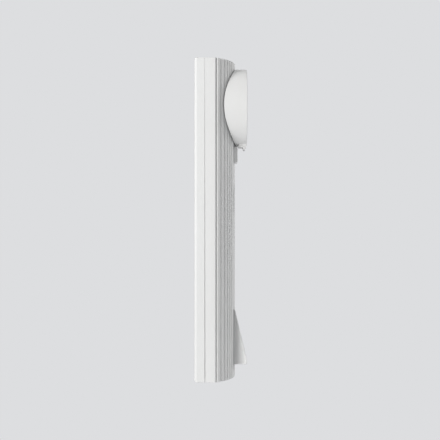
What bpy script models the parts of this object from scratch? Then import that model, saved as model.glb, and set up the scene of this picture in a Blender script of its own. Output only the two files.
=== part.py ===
"""Wall-mounted video door station: a slim white housing with a ribbed, convex front cover, a round camera
hood, a light button, a loudspeaker, a wedge-shaped call key and the electronics inside.

Frame: +Z up, the front faces -Y, the wall is the plane y = 0. The origin is the centre of the back face.
Sizes below are in millimetres. A depth is measured from the wall towards the front, so y = -depth.
"""

import math

import bmesh
import bpy
from mathutils import Vector

for old in list(bpy.data.objects):
    bpy.data.objects.remove(old, do_unlink=True)

MM = 0.001

# ---------------------------------------------------------------- driving dimensions
HALF_HEIGHT = 142.5
HALF_WIDTH = 43.0
WALL = 2.4
PARTING_DEPTH = 9.3  # joint between rear housing and front cover
PARTING_GAP = 0.4
SIDE_DEPTH = 18.7  # flat flank ends and the convex front starts
APEX_DEPTH = 36.2  # crown of the convex front
REAR_EDGE_RADIUS = 2.4
FRONT_RADIUS = (HALF_WIDTH**2 + (APEX_DEPTH - SIDE_DEPTH) ** 2) / (
    2 * (APEX_DEPTH - SIDE_DEPTH)
)

GROOVE_FIRST = 41.7  # lateral place of the outermost groove
GROOVE_PITCH = 4.5
GROOVES_PER_SIDE = 6
GROOVE_WIDTH = 1.3
GROOVE_DEEP = 0.7

HOOD_Z = 102.2
HOOD_RADIUS = 35.2
HOOD_INNER = 29.6
HOOD_COLLAR = 32.0
HOOD_FRONT = 46.9
HOOD_HOLE = 32.4
JOINT_GAP = 1.1  # shadow joint between hood and front cover
GIMBAL_DEPTH = 22.0  # the two camera axes cross here

BUTTON_HALF_WIDTH = 12.0
BUTTON_Z = (52.2, 66.4)
BUTTON_FRONT = 38.6

SPEAKER_Z = 18.0
SPEAKER_SLOT_REACH = 16.8

KEY_TOP = (36.1, -81.3)  # depth, z of the slanted front's upper end
KEY_LOW = (47.2, -127.8)
KEY_UNDERSIDE = -130.7
KEY_HALF_WIDTH = 11.6
KEY_PLATE_HALF_WIDTH = 12.6
KEY_PIVOT = (31.0, -84.0)  # depth, z of the hinge pin
KEY_OPENING = (13.0, -131.3, -81.0)

BOARD_BACK = 10.0
BOARD_THICK = 1.6
STANDOFF_RADIUS = 3.6
SCREW_HOLE = 1.6

CABLE_Z = -40.0
CABLE_HOLE = 5.0


# ---------------------------------------------------------------- materials
def material(name, colour, roughness, metallic=0.0, transmission=0.0):
    made = bpy.data.materials.new(name)
    made.use_nodes = True
    shader = made.node_tree.nodes["Principled BSDF"]
    shader.inputs["Base Color"].default_value = (*colour, 1.0)
    shader.inputs["Roughness"].default_value = roughness
    shader.inputs["Metallic"].default_value = metallic
    shader.inputs["Transmission Weight"].default_value = transmission
    made.diffuse_color = (*colour, 1.0)
    return made


WHITE = material("white_plastic", (0.84, 0.84, 0.83), 0.45)
KEY_WHITE = material("key_plastic", (0.86, 0.86, 0.85), 0.4)
BLACK = material("black_plastic", (0.03, 0.03, 0.032), 0.4)
RUBBER = material("black_rubber", (0.04, 0.04, 0.04), 0.8)
SMOKE = material("smoked_window", (0.02, 0.02, 0.025), 0.05, 0.0, 0.6)
CLEAR = material("clear_plastic", (0.9, 0.92, 0.92), 0.05, 0.0, 0.9)
OPAL = material("opal_plastic", (0.85, 0.86, 0.84), 0.4, 0.0, 0.2)
CARD = material("name_card", (0.9, 0.9, 0.88), 0.8)
STEEL = material("zinc_steel", (0.6, 0.61, 0.62), 0.3, 1.0)
BOARD = material("green_board", (0.02, 0.16, 0.07), 0.45)
CHIP = material("chip_epoxy", (0.03, 0.03, 0.03), 0.5)
GLASS = material("lens_glass", (0.1, 0.1, 0.14), 0.02, 0.0, 0.8)
LED = material("led_epoxy", (0.3, 0.25, 0.35), 0.1, 0.0, 0.5)
PAPER = material("cone_paper", (0.05, 0.05, 0.055), 0.85)
TERMINAL = material("terminal_green", (0.05, 0.35, 0.16), 0.5)
CAN = material("capacitor_can", (0.55, 0.56, 0.58), 0.35, 0.9)


# ---------------------------------------------------------------- modelling helpers
def finish(name, bm, mat):
    bmesh.ops.remove_doubles(bm, verts=bm.verts, dist=1e-7)
    bmesh.ops.recalc_face_normals(bm, faces=bm.faces)
    mesh = bpy.data.meshes.new(name)
    bm.to_mesh(mesh)
    bm.free()
    mesh.materials.append(mat)
    obj = bpy.data.objects.new(name, mesh)
    bpy.context.scene.collection.objects.link(obj)
    return obj


def point(axis, u, v, t):
    """A point of an outline (u, v) at t along the axis, in millimetres; Y takes t as a depth."""
    if axis == "X":  # outline is (depth, z)
        return Vector((t, -u, v)) * MM
    if axis == "Y":  # outline is (x, z)
        return Vector((u, -t, v)) * MM
    return Vector((u, -v, t)) * MM  # Z: outline is (x, depth)


def prism(name, outline, low, high, axis, mat=WHITE):
    bm = bmesh.new()
    ends = [[bm.verts.new(point(axis, u, v, t)) for u, v in outline] for t in (low, high)]
    bm.faces.new(ends[0])
    bm.faces.new(ends[1])
    count = len(outline)
    for i in range(count):
        j = (i + 1) % count
        bm.faces.new((ends[0][i], ends[0][j], ends[1][j], ends[1][i]))
    return finish(name, bm, mat)


def block(name, x, depth, z, mat=WHITE, bevel=0.0):
    obj = prism(name, [(x[0], depth[0]), (x[1], depth[0]), (x[1], depth[1]), (x[0], depth[1])], z[0], z[1], "Z", mat)
    if bevel:
        bm = bmesh.new()
        bm.from_mesh(obj.data)
        bmesh.ops.bevel(bm, geom=bm.edges[:], offset=bevel * MM, segments=2, profile=0.5, affect="EDGES")
        bm.to_mesh(obj.data)
        bm.free()
    return obj


def turned(name, profile, centre, axis, steps, mat=WHITE):
    """A closed profile of (radius, position along the axis) turned about the axis through centre."""
    bm = bmesh.new()
    rings = []
    for radius, along in profile:
        if radius < 1e-6:
            rings.append([bm.verts.new(point(axis, centre[0], centre[1], along))])
            continue
        rings.append(
            [
                bm.verts.new(
                    point(
                        axis,
                        centre[0] + radius * math.cos(2 * math.pi * (k + 0.5) / steps),
                        centre[1] + radius * math.sin(2 * math.pi * (k + 0.5) / steps),
                        along,
                    )
                )
                for k in range(steps)
            ]
        )
    for one, two in zip(rings, rings[1:] + rings[:1]):
        if len(one) == 1 and len(two) == 1:
            continue
        for k in range(steps):
            m = (k + 1) % steps
            if len(one) == 1:
                bm.faces.new((one[0], two[k], two[m]))
            elif len(two) == 1:
                bm.faces.new((one[k], one[m], two[0]))
            else:
                bm.faces.new((one[k], one[m], two[m], two[k]))
    obj = finish(name, bm, mat)
    obj.data.shade_smooth()
    obj.data.set_sharp_from_angle(angle=math.radians(35))
    return obj


def cylinder(name, radius, low, high, centre, axis, steps=16, mat=WHITE):
    return turned(name, [(0, low), (radius, low), (radius, high), (0, high)], centre, axis, steps, mat)


def combine(obj, other, operation):
    """Applies an exact Boolean with another solid, which is then removed."""
    modifier = obj.modifiers.new("cut", "BOOLEAN")
    modifier.operation = operation
    modifier.solver = "EXACT"
    modifier.object = other
    bpy.context.view_layer.update()
    graph = bpy.context.evaluated_depsgraph_get()
    result = bpy.data.meshes.new_from_object(obj.evaluated_get(graph))
    obj.modifiers.clear()
    old_mesh = obj.data
    obj.data = result
    result.name = obj.name
    bpy.data.meshes.remove(old_mesh)
    bpy.data.objects.remove(other, do_unlink=True)
    mats = [m for m in obj.data.materials]
    if len(mats) > 1:
        first = mats[0]
        obj.data.materials.clear()
        obj.data.materials.append(first)
    return obj


def cut(obj, *others):
    for other in others:
        combine(obj, other, "DIFFERENCE")
    return obj


def join(obj, *others):
    for other in others:
        combine(obj, other, "UNION")
    return obj


def pivot_at(obj, x, depth, z):
    """Puts an object's origin on its joint axis and leaves its shape where it is."""
    place = Vector((x, -depth, z)) * MM
    for vertex in obj.data.vertices:
        vertex.co -= place
    obj.location = place


def smooth(obj, degrees=35):
    obj.data.shade_smooth()
    obj.data.set_sharp_from_angle(angle=math.radians(degrees))


# ---------------------------------------------------------------- the convex front
def crown(x, offset=0.0):
    """Depth of the convex front at a lateral place, moved out by offset along its normal."""
    return APEX_DEPTH - FRONT_RADIUS + math.sqrt((FRONT_RADIUS + offset) ** 2 - x * x)


def front_outline(offset=0.0, back=PARTING_DEPTH + PARTING_GAP / 2, grooves=False, samples=28):
    """Closed outline (x, depth) of the cover: straight flanks, then the convex front."""
    half = HALF_WIDTH + offset
    marks = [(-half + 2 * half * k / samples, None) for k in range(samples + 1)]
    if grooves:
        places = [s * (GROOVE_FIRST - k * GROOVE_PITCH) for k in range(GROOVES_PER_SIDE) for s in (-1, 1)]
        marks = [m for m in marks if all(abs(m[0] - g) > GROOVE_WIDTH for g in places) or abs(m[0]) > half - 0.01]
        for g in places:
            half_mouth = GROOVE_WIDTH / 2
            marks += [(g - half_mouth, 0.0), (g, GROOVE_DEEP), (g + half_mouth, 0.0)]
    marks.sort(key=lambda m: m[0])
    outline = [(-half, back)]
    outline += [(x, crown(x, offset) - (deep or 0.0)) for x, deep in marks]
    outline.append((half, back))
    return outline


# ---------------------------------------------------------------- rear housing
rear = block("rear_housing", (-HALF_WIDTH, HALF_WIDTH), (0.0, PARTING_DEPTH - PARTING_GAP / 2), (-HALF_HEIGHT, HALF_HEIGHT))
bm = bmesh.new()
bm.from_mesh(rear.data)
back_edges = [e for e in bm.edges if all(abs(v.co.y) < 1e-6 for v in e.verts)]
bmesh.ops.bevel(bm, geom=back_edges, offset=REAR_EDGE_RADIUS * MM, segments=3, profile=0.5, affect="EDGES")
bm.to_mesh(rear.data)
bm.free()
cut(rear, block("c", (-HALF_WIDTH + WALL, HALF_WIDTH - WALL), (WALL, 12.0), (-HALF_HEIGHT + WALL, HALF_HEIGHT - WALL)))

BOARD_SCREWS = [(-30.0, 54.0), (30.0, 54.0), (-30.0, -90.0), (30.0, -90.0)]
BASE_SCREWS = [(-21.0, HOOD_Z), (21.0, HOOD_Z)]
WALL_HOLES = [(-31.0, 131.0), (31.0, 131.0), (-31.0, -121.0), (31.0, -121.0)]
for sx, sz in BOARD_SCREWS:
    join(rear, cylinder("c", STANDOFF_RADIUS, WALL - 0.4, BOARD_BACK - 0.3, (sx, sz), "Y", 14))
    cut(rear, cylinder("c", SCREW_HOLE, 3.2, BOARD_BACK + 1, (sx, sz), "Y", 12))
for sx, sz in BASE_SCREWS:
    join(rear, cylinder("c", STANDOFF_RADIUS, WALL - 0.4, 6.2, (sx, sz), "Y", 14))
    cut(rear, cylinder("c", SCREW_HOLE, 2.9, 8.0, (sx, sz), "Y", 12))
for sx, sz in WALL_HOLES:
    cut(rear, cylinder("c", 2.3, -1.0, 4.0, (sx, sz), "Y", 14))
# lug that the cover's lower screw goes up into
join(rear, block("c", (-6.0, 6.0), (WALL - 0.4, 18.0), (-137.5, -131.0)))
cut(rear, cylinder("c", 1.7, -139.0, -132.4, (0.0, 14.5), "Z", 12))
# cable inlet
cut(rear, prism("c", [(-10, CABLE_Z - 8), (10, CABLE_Z - 8), (12, CABLE_Z - 6), (12, CABLE_Z + 6), (10, CABLE_Z + 8), (-10, CABLE_Z + 8), (-12, CABLE_Z + 6), (-12, CABLE_Z - 6)], -1.0, 4.0, "Y"))

grommet = prism(
    "cable_grommet",
    [(-9.8, CABLE_Z - 7.6), (9.8, CABLE_Z - 7.6), (11.6, CABLE_Z - 5.8), (11.6, CABLE_Z + 5.8), (9.8, CABLE_Z + 7.6), (-9.8, CABLE_Z + 7.6), (-11.6, CABLE_Z + 5.8), (-11.6, CABLE_Z - 5.8)],
    0.4,
    3.4,
    "Y",
    RUBBER,
)
join(grommet, block("c", (-14.0, 14.0), (2.8, 4.2), (CABLE_Z - 10.0, CABLE_Z + 10.0)))
cut(grommet, cylinder("c", CABLE_HOLE, -1.0, 6.0, (0.0, CABLE_Z), "Y", 20))

seal = block("housing_seal", (-40.2, 40.2), (7.5, 11.5), (-139.7, 139.7), RUBBER)
cut(seal, block("c", (-38.6, 38.6), (6.0, 13.0), (-138.1, 138.1)))

# ---------------------------------------------------------------- front cover
cover = prism("front_cover", front_outline(grooves=True), -HALF_HEIGHT, HALF_HEIGHT, "Z")
inner = [(-HALF_WIDTH + WALL, 7.0)]
inner += [(x, crown(x, -WALL)) for x in [(-HALF_WIDTH + WALL) * (1 - k / 12) for k in range(25)]]
inner.append((HALF_WIDTH - WALL, 7.0))
cut(cover, prism("c", inner, -HALF_HEIGHT + WALL, HALF_HEIGHT - WALL, "Z"))
cut(cover, cylinder("c", HOOD_HOLE, 8.0, 60.0, (0.0, HOOD_Z), "Y", 56))
cut(cover, block("c", (-12.4, 12.4), (20.0, 45.0), (BUTTON_Z[0] - 0.4, BUTTON_Z[1] + 0.4)))
for k in range(-3, 4):
    x = k * GROOVE_PITCH
    reach = math.sqrt(SPEAKER_SLOT_REACH**2 - x * x)
    cut(cover, block("c", (x - 0.8, x + 0.8), (20.0, 45.0), (SPEAKER_Z - reach, SPEAKER_Z + reach)))
cut(cover, block("c", (-KEY_OPENING[0], KEY_OPENING[0]), (20.0, 45.0), (KEY_OPENING[1], KEY_OPENING[2])))
cut(cover, cylinder("c", 0.8, 25.0, 45.0, (0.0, -135.6), "Y", 10))
cut(cover, cylinder("c", 3.0, -143.5, -141.1, (0.0, 14.5), "Z", 16))
cut(cover, cylinder("c", 1.8, -143.5, -138.0, (0.0, 14.5), "Z", 12))
for side in (-1, 1):
    lug = block("c", sorted((side * 13.4, side * 15.8)), (28.5, 33.0), (-86.6, -81.5))
    join(cover, lug)
    cut(cover, cylinder("c", 1.15, *sorted((side * 12.9, side * 16.5)), (KEY_PIVOT[0], KEY_PIVOT[1]), "X", 12))

screw = turned(
    "cover_screw",
    [(0, -142.3), (2.6, -142.3), (2.6, -141.4), (1.4, -141.4), (1.4, -133.0), (0, -133.0)],
    (0.0, 14.5),
    "Z",
    14,
    STEEL,
)

# ---------------------------------------------------------------- camera head, outside
hood = turned(
    "camera_hood",
    [(HOOD_INNER, 10.0), (HOOD_RADIUS, 10.0), (HOOD_RADIUS, HOOD_FRONT - 1.4), (HOOD_RADIUS - 0.4, HOOD_FRONT - 0.4), (HOOD_RADIUS - 1.4, HOOD_FRONT), (HOOD_INNER, HOOD_FRONT)],
    (0.0, HOOD_Z),
    "Y",
    56,
)
cut(hood, prism("c", front_outline(JOINT_GAP, back=5.0), 50.0, HALF_HEIGHT + 5, "Z"))
join(
    hood,
    turned("c", [(HOOD_INNER, 14.0), (HOOD_COLLAR, 14.0), (HOOD_COLLAR, 42.0), (HOOD_INNER, 42.0)], (0.0, HOOD_Z), "Y", 56),
)
# drip lip under the front edge
join(
    hood,
    prism(
        "c",
        [(39.6, HOOD_Z - 33.6), (39.6, 66.1), (42.3, 66.0), (43.4, 64.1), (44.9, 64.1), (45.1, 66.2), (45.6, 66.6), (45.6, HOOD_Z - 33.6)],
        -9.0,
        9.0,
        "X",
    ),
)
smooth(hood)

gasket = turned("hood_gasket", [(HOOD_HOLE, 12.0), (34.3, 12.0), (34.3, 48.0), (HOOD_HOLE, 48.0)], (0.0, HOOD_Z), "Y", 56, RUBBER)
cut(gasket, prism("c", front_outline(0.3, back=5.0), 50.0, HALF_HEIGHT + 5, "Z"))
combine(gasket, prism("c", front_outline(0.8, back=5.0), 50.0, HALF_HEIGHT + 5, "Z"), "INTERSECT")

turned("hood_lock_ring", [(HOOD_COLLAR + 0.3, 15.0), (36.0, 15.0), (36.0, 17.5), (HOOD_COLLAR + 0.3, 17.5)], (0.0, HOOD_Z), "Y", 40, BLACK)

turned(
    "window_bezel",
    [(25.2, 44.9), (27.9, 44.9), (27.9, 34.0), (29.2, 34.0), (29.2, 46.1), (26.2, 46.1), (25.2, 45.6)],
    (0.0, HOOD_Z),
    "Y",
    48,
    BLACK,
)
turned(
    "camera_window",
    [(0, 42.4), (27.5, 42.4), (27.5, 44.3), (25.0, 44.5), (20.0, 45.1), (14.0, 45.7), (7.0, 46.1), (0, 46.2)],
    (0.0, HOOD_Z),
    "Y",
    40,
    SMOKE,
)

# ---------------------------------------------------------------- camera head, inside
base = cylinder("camera_base", 26.0, 6.5, 8.5, (0.0, HOOD_Z), "Y", 28, BLACK)
for side in (-1, 1):
    join(base, block("c", (-4.0, 4.0), (7.5, 25.5), sorted((HOOD_Z + side * 18.0, HOOD_Z + side * 21.0))))
    cut(base, cylinder("c", 1.8, *sorted((HOOD_Z + side * 17.0, HOOD_Z + side * 22.0)), (0.0, GIMBAL_DEPTH), "Z", 12))
for sx, sz in BASE_SCREWS:
    cut(base, cylinder("c", SCREW_HOLE, 5.0, 10.0, (sx, sz), "Y", 12))
for label, (sx, sz) in zip(("left", "right"), BASE_SCREWS):
    turned(
        "camera_base_screw_" + label,
        [(0, 3.3), (1.3, 3.3), (1.3, 8.8), (2.6, 8.8), (2.6, 10.4), (0, 10.4)],
        (sx, sz),
        "Y",
        12,
        STEEL,
    )

ring = block("camera_gimbal_ring", (-17.0, 17.0), (19.0, 25.0), (HOOD_Z - 17.0, HOOD_Z + 17.0), BLACK)
cut(ring, block("c", (-14.0, 14.0), (17.0, 27.0), (HOOD_Z - 14.0, HOOD_Z + 14.0)))
for side in (-1, 1):
    join(ring, cylinder("c", 1.5, *sorted((HOOD_Z + side * 16.0, HOOD_Z + side * 20.6)), (0.0, GIMBAL_DEPTH), "Z", 12))
    cut(ring, cylinder("c", 1.8, *sorted((side * 12.0, side * 18.0)), (GIMBAL_DEPTH, HOOD_Z), "X", 12))
pivot_at(ring, 0.0, GIMBAL_DEPTH, HOOD_Z)

module = block("camera_module", (-11.0, 11.0), (14.0, 30.0), (HOOD_Z - 11.0, HOOD_Z + 11.0), BLACK, 0.8)
join(module, cylinder("c", 1.5, -16.4, 16.4, (GIMBAL_DEPTH, HOOD_Z), "X", 12))
pivot_at(module, 0.0, GIMBAL_DEPTH, HOOD_Z)
for made in (
    block("sensor_board", (-7.6, 7.6), (12.1, 13.7), (HOOD_Z - 7.6, HOOD_Z + 7.6), BOARD),
    turned(
        "lens_barrel",
        [(0, 30.3), (7.5, 30.3), (7.5, 34.0), (7.0, 34.4), (7.0, 38.2), (5.6, 38.2), (5.6, 36.2), (0, 36.2)],
        (0.0, HOOD_Z),
        "Y",
        24,
        BLACK,
    ),
    turned("lens_element", [(0, 36.5), (5.2, 36.5), (5.2, 37.4), (3.6, 37.9), (1.8, 38.2), (0, 38.3)], (0.0, HOOD_Z), "Y", 20, GLASS),
):
    pivot_at(made, 0.0, GIMBAL_DEPTH, HOOD_Z)

turned("ir_led_board", [(15.2, 34.5), (27.4, 34.5), (27.4, 36.1), (15.2, 36.1)], (0.0, HOOD_Z), "Y", 32, BOARD)
for k in range(6):
    angle = math.radians(60 * k)
    turned(
        "ir_led_%d" % (k + 1),
        [(0, 36.4), (2.7, 36.4), (2.7, 37.2), (2.4, 37.2), (2.4, 39.6), (1.7, 41.0), (0, 41.6)],
        (21.3 * math.cos(angle), HOOD_Z + 21.3 * math.sin(angle)),
        "Y",
        12,
        LED,
    )

# ---------------------------------------------------------------- light button
button = block("light_button", (-BUTTON_HALF_WIDTH, BUTTON_HALF_WIDTH), (29.8, BUTTON_FRONT), BUTTON_Z, KEY_WHITE, 0.8)
join(button, block("c", (-13.4, 13.4), (29.6, 31.0), (50.9, 67.7)))
cut(button, block("c", (-10.4, 10.4), (28.0, 37.0), (53.8, 64.8)))
join(button, cylinder("c", 2.0, 30.2, 37.4, (0.0, 59.3), "Y", 12))
block("light_button_board", (-13.0, 13.0), (22.0, 23.6), (52.0, 66.6), BOARD)
switch = block("light_button_switch", (-3.1, 3.1), (23.9, 27.4), (56.2, 62.4), CHIP)
join(switch, cylinder("c", 1.7, 26.5, 28.9, (0.0, 59.3), "Y", 12))

# ---------------------------------------------------------------- loudspeaker
turned("speaker_gasket", [(17.4, 28.6), (19.2, 28.6), (19.2, 30.2), (17.4, 30.2)], (0.0, SPEAKER_Z), "Y", 32, RUBBER)
turned(
    "speaker_basket",
    [(22.0, 28.3), (22.0, 27.2), (19.4, 27.2), (12.9, 18.6), (0, 18.6), (0, 19.8), (12.1, 19.8), (18.2, 28.3)],
    (0.0, SPEAKER_Z),
    "Y",
    32,
    STEEL,
)
turned(
    "speaker_cone",
    [(0, 21.4), (6.3, 21.4), (16.9, 27.3), (16.9, 27.9), (16.2, 27.9), (6.3, 22.7), (4.0, 24.0), (0, 24.5)],
    (0.0, SPEAKER_Z),
    "Y",
    32,
    PAPER,
)
cylinder("speaker_magnet", 12.0, 14.2, 18.3, (0.0, SPEAKER_Z), "Y", 28, STEEL)

# ---------------------------------------------------------------- call key
key_length = math.hypot(KEY_LOW[0] - KEY_TOP[0], KEY_LOW[1] - KEY_TOP[1])
along = ((KEY_LOW[0] - KEY_TOP[0]) / key_length, (KEY_LOW[1] - KEY_TOP[1]) / key_length)
outward = (-along[1], along[0])


def on_key(s, deep):
    """(depth, z) of a point s down the slanted front and deep below it."""
    return (KEY_TOP[0] + along[0] * s - outward[0] * deep, KEY_TOP[1] + along[1] * s - outward[1] * deep)


key = prism(
    "call_key",
    [KEY_TOP, KEY_LOW, (47.25, -129.0), (46.8, -130.0), (46.0, -130.6), (45.0, KEY_UNDERSIDE), (29.5, KEY_UNDERSIDE), (29.5, -81.8), (30.0, -81.4)],
    -KEY_HALF_WIDTH,
    KEY_HALF_WIDTH,
    "X",
    KEY_WHITE,
)
join(
    key,
    prism("c", [KEY_TOP, KEY_LOW, (47.25, -129.0), (46.8, -130.0), (46.0, -130.6), (44.9, KEY_UNDERSIDE), (44.9, -129.3), on_key(47.0, 1.1), on_key(0.2, 1.1)], -KEY_PLATE_HALF_WIDTH, KEY_PLATE_HALF_WIDTH, "X"),
)
cut(key, prism("c", [(27.0, -83.0), (32.2, -83.0), (43.2, -129.2), (27.0, -129.2)], -10.0, 10.0, "X"))
cut(key, prism("c", [on_key(1.9, -1.0), on_key(45.1, -1.0), on_key(45.1, 3.2), on_key(1.9, 3.2)], -10.7, 10.7, "X"))
cut(key, prism("c", [on_key(5.0, 3.0), on_key(36.0, 3.0), on_key(36.0, 5.0), on_key(5.0, 5.0)], -8.5, 8.5, "X"))
join(key, block("c", (-1.5, 1.5), (29.1, 41.6), (-122.5, -119.5)))
cut(key, cylinder("c", 1.25, -14.0, 14.0, KEY_PIVOT, "X", 12))
window = prism("name_plate_window", [on_key(2.2, 0.0), on_key(44.8, 0.0), on_key(44.8, 1.0), on_key(2.2, 1.0)], -10.4, 10.4, "X", CLEAR)
card = prism("name_card", [on_key(2.6, 1.3), on_key(44.4, 1.3), on_key(44.4, 1.6), on_key(2.6, 1.6)], -10.2, 10.2, "X", CARD)
diffuser = prism("name_plate_diffuser", [on_key(2.2, 1.9), on_key(44.8, 1.9), on_key(44.8, 2.9), on_key(2.2, 2.9)], -10.4, 10.4, "X", OPAL)
for made in (key, window, card, diffuser):
    pivot_at(made, 0.0, *KEY_PIVOT)

cylinder("call_key_pin", 1.0, -15.4, 15.4, KEY_PIVOT, "X", 14, STEEL)
block("call_key_board", (-13.0, 13.0), (20.0, 21.6), (-127.0, -88.0), BOARD)
switch = block("call_key_switch", (-3.1, 3.1), (21.9, 25.4), (-124.1, -117.9), CHIP)
join(switch, cylinder("c", 1.7, 24.5, 27.2, (0.0, -121.0), "Y", 12))
block("call_key_led_left", (-8.5, -5.5), (21.9, 23.8), (-104.0, -100.5), OPAL)
block("call_key_led_right", (5.5, 8.5), (21.9, 23.8), (-104.0, -100.5), OPAL)

# ---------------------------------------------------------------- microphone
turned("microphone_boot", [(3.1, 26.0), (3.9, 26.0), (3.9, 33.0), (1.0, 33.0), (1.0, 32.0), (3.1, 32.0)], (0.0, -135.6), "Y", 16, RUBBER)
cylinder("microphone", 2.8, 26.4, 31.6, (0.0, -135.6), "Y", 16, CAN)

# ---------------------------------------------------------------- main board
board = block("main_board", (-34.0, 34.0), (BOARD_BACK, BOARD_BACK + BOARD_THICK), (-94.0, 58.0), BOARD)
cut(board, block("c", (-14.5, 14.5), (8.0, 14.0), (CABLE_Z - 11.0, CABLE_Z + 11.0)))
for sx, sz in BOARD_SCREWS:
    cut(board, cylinder("c", SCREW_HOLE, 8.0, 14.0, (sx, sz), "Y", 12))
for k, (sx, sz) in enumerate(BOARD_SCREWS):
    turned(
        "main_board_screw_%d" % (k + 1),
        [(0, 4.0), (1.3, 4.0), (1.3, 11.9), (2.6, 11.9), (2.6, 13.6), (0, 13.6)],
        (sx, sz),
        "Y",
        12,
        STEEL,
    )
terminal = block("terminal_block", (-16.0, 16.0), (11.9, 20.9), (-78.0, -66.0), TERMINAL)
for k in range(6):
    cut(terminal, cylinder("c", 1.7, 18.0, 23.0, (-13.0 + 5.2 * k, -70.5), "Y", 10))
    cut(terminal, block("c", (-14.6 + 5.2 * k, -11.4 + 5.2 * k), (13.2, 16.4), (-80.0, -74.0)))
block("controller_chip", (-29.0, -15.0), (11.9, 13.3), (-22.0, -8.0), CHIP)
cylinder("filter_capacitor", 5.0, 11.9, 23.9, (24.0, -22.0), "Y", 20, CAN)
connector = block("camera_connector", (-7.0, 7.0), (11.9, 17.5), (48.5, 54.5), CARD)
cut(connector, block("c", (-6.0, 6.0), (13.4, 19.0), (49.6, 53.4)))

for obj in bpy.data.objects:
    if obj.type == "MESH" and not any(edge.use_edge_sharp for edge in obj.data.edges):
        smooth(obj)
bpy.context.view_layer.update()
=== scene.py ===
import math
import random

import bmesh
import bpy
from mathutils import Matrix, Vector
from mathutils.geometry import tessellate_polygon


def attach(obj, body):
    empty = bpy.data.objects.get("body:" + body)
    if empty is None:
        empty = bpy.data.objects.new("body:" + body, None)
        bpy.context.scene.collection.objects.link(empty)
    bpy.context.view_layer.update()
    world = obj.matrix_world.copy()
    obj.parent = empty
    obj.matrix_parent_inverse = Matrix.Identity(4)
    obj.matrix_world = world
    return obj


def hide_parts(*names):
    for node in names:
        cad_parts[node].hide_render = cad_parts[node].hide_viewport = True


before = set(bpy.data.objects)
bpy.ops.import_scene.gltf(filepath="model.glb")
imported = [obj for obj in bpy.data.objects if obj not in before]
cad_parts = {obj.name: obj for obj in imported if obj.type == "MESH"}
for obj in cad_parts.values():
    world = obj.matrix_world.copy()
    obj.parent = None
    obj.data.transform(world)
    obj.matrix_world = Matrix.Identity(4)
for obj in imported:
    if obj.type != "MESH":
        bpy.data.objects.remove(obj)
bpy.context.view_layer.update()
random.seed(7)
MM = 0.001

# ---------------------------------------------------------------- the frame's own dimensions (mm, depth = -y)
HALF_HEIGHT, HALF_WIDTH = 142.499, 43.0
SIDE_DEPTH, APEX = 18.7, 36.2
RADIUS = (HALF_WIDTH**2 + (APEX - SIDE_DEPTH) ** 2) / (2 * (APEX - SIDE_DEPTH))
WALL = 2.4
GROOVE_FIRST, GROOVE_PITCH, GROOVES = 41.7, 4.5, 6
HOOD_Z, HOOD_R, HOOD_IN, HOOD_FRONT = 102.2, 35.2, 29.6, 46.9
GIMBAL = 22.0
KEY_TOP, KEY_LOW = (36.1, -81.3), (47.2, -127.8)
KEY_PIVOT = (31.0, -84.0)
SPEAKER_Z = 18.0
CABLE_Z = -40.0


# ================================================================ materials
class Nodes:
    """A small helper for node materials whose even values sit on the shader's own sockets."""

    def __init__(self, name, **even):
        self.mat = bpy.data.materials.new(name)
        self.mat.use_nodes = True
        self.tree = self.mat.node_tree
        self.shader = self.tree.nodes["Principled BSDF"]
        self.coord = self.tree.nodes.new("ShaderNodeTexCoord")
        for key, value in even.items():
            socket = self.shader.inputs[key.replace("_", " ")]
            socket.default_value = (*value, 1.0) if isinstance(value, tuple) and len(value) == 3 else value

    def add(self, kind, **values):
        node = self.tree.nodes.new("ShaderNode" + kind)
        for key, value in values.items():
            if key in node.inputs:
                node.inputs[key].default_value = value
            else:
                setattr(node, key, value)
        return node

    def link(self, a, out, b, into):
        self.tree.links.new(a.outputs[out], b.inputs[into])

    def noise(self, scale, detail=2.0, rough=0.5, stretch=None):
        node = self.add("TexNoise", Scale=scale, Detail=detail, Roughness=rough)
        if stretch:
            mapping = self.add("Mapping")
            mapping.inputs["Scale"].default_value = stretch
            self.link(self.coord, "Object", mapping, "Vector")
            self.link(mapping, "Vector", node, "Vector")
        else:
            self.link(self.coord, "Object", node, "Vector")
        return node

    def ramp(self, source, out, stops):
        node = self.add("ValToRGB")
        elements = node.color_ramp.elements
        while len(elements) < len(stops):
            elements.new(0.5)
        for element, (place, colour) in zip(elements, stops):
            element.position = place
            element.color = (*colour, 1.0) if len(colour) == 3 else colour
        self.link(source, out, node, "Fac")
        return node

    def colour(self, node, out="Color"):
        self.link(node, out, self.shader, "Base Color")

    def rough(self, source, out, low, high):
        node = self.add("MapRange")
        node.inputs["To Min"].default_value = low
        node.inputs["To Max"].default_value = high
        self.link(source, out, node, "Value")
        self.link(node, "Result", self.shader, "Roughness")

    def bump(self, *sources, strength=0.3, distance=0.00005):
        height = None
        for source, out, weight in sources:
            scaled = self.add("Math", operation="MULTIPLY")
            scaled.inputs[1].default_value = weight
            self.link(source, out, scaled, 0)
            if height is None:
                height = scaled
            else:
                total = self.add("Math", operation="ADD")
                self.link(height, 0, total, 0)
                self.link(scaled, 0, total, 1)
                height = total
        node = self.add("Bump", Strength=strength, Distance=distance)
        self.link(height, 0, node, "Height")
        self.link(node, "Normal", self.shader, "Normal")


def mix(a, b, t):
    return tuple(x + (y - x) * t for x, y in zip(a, b))


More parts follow.
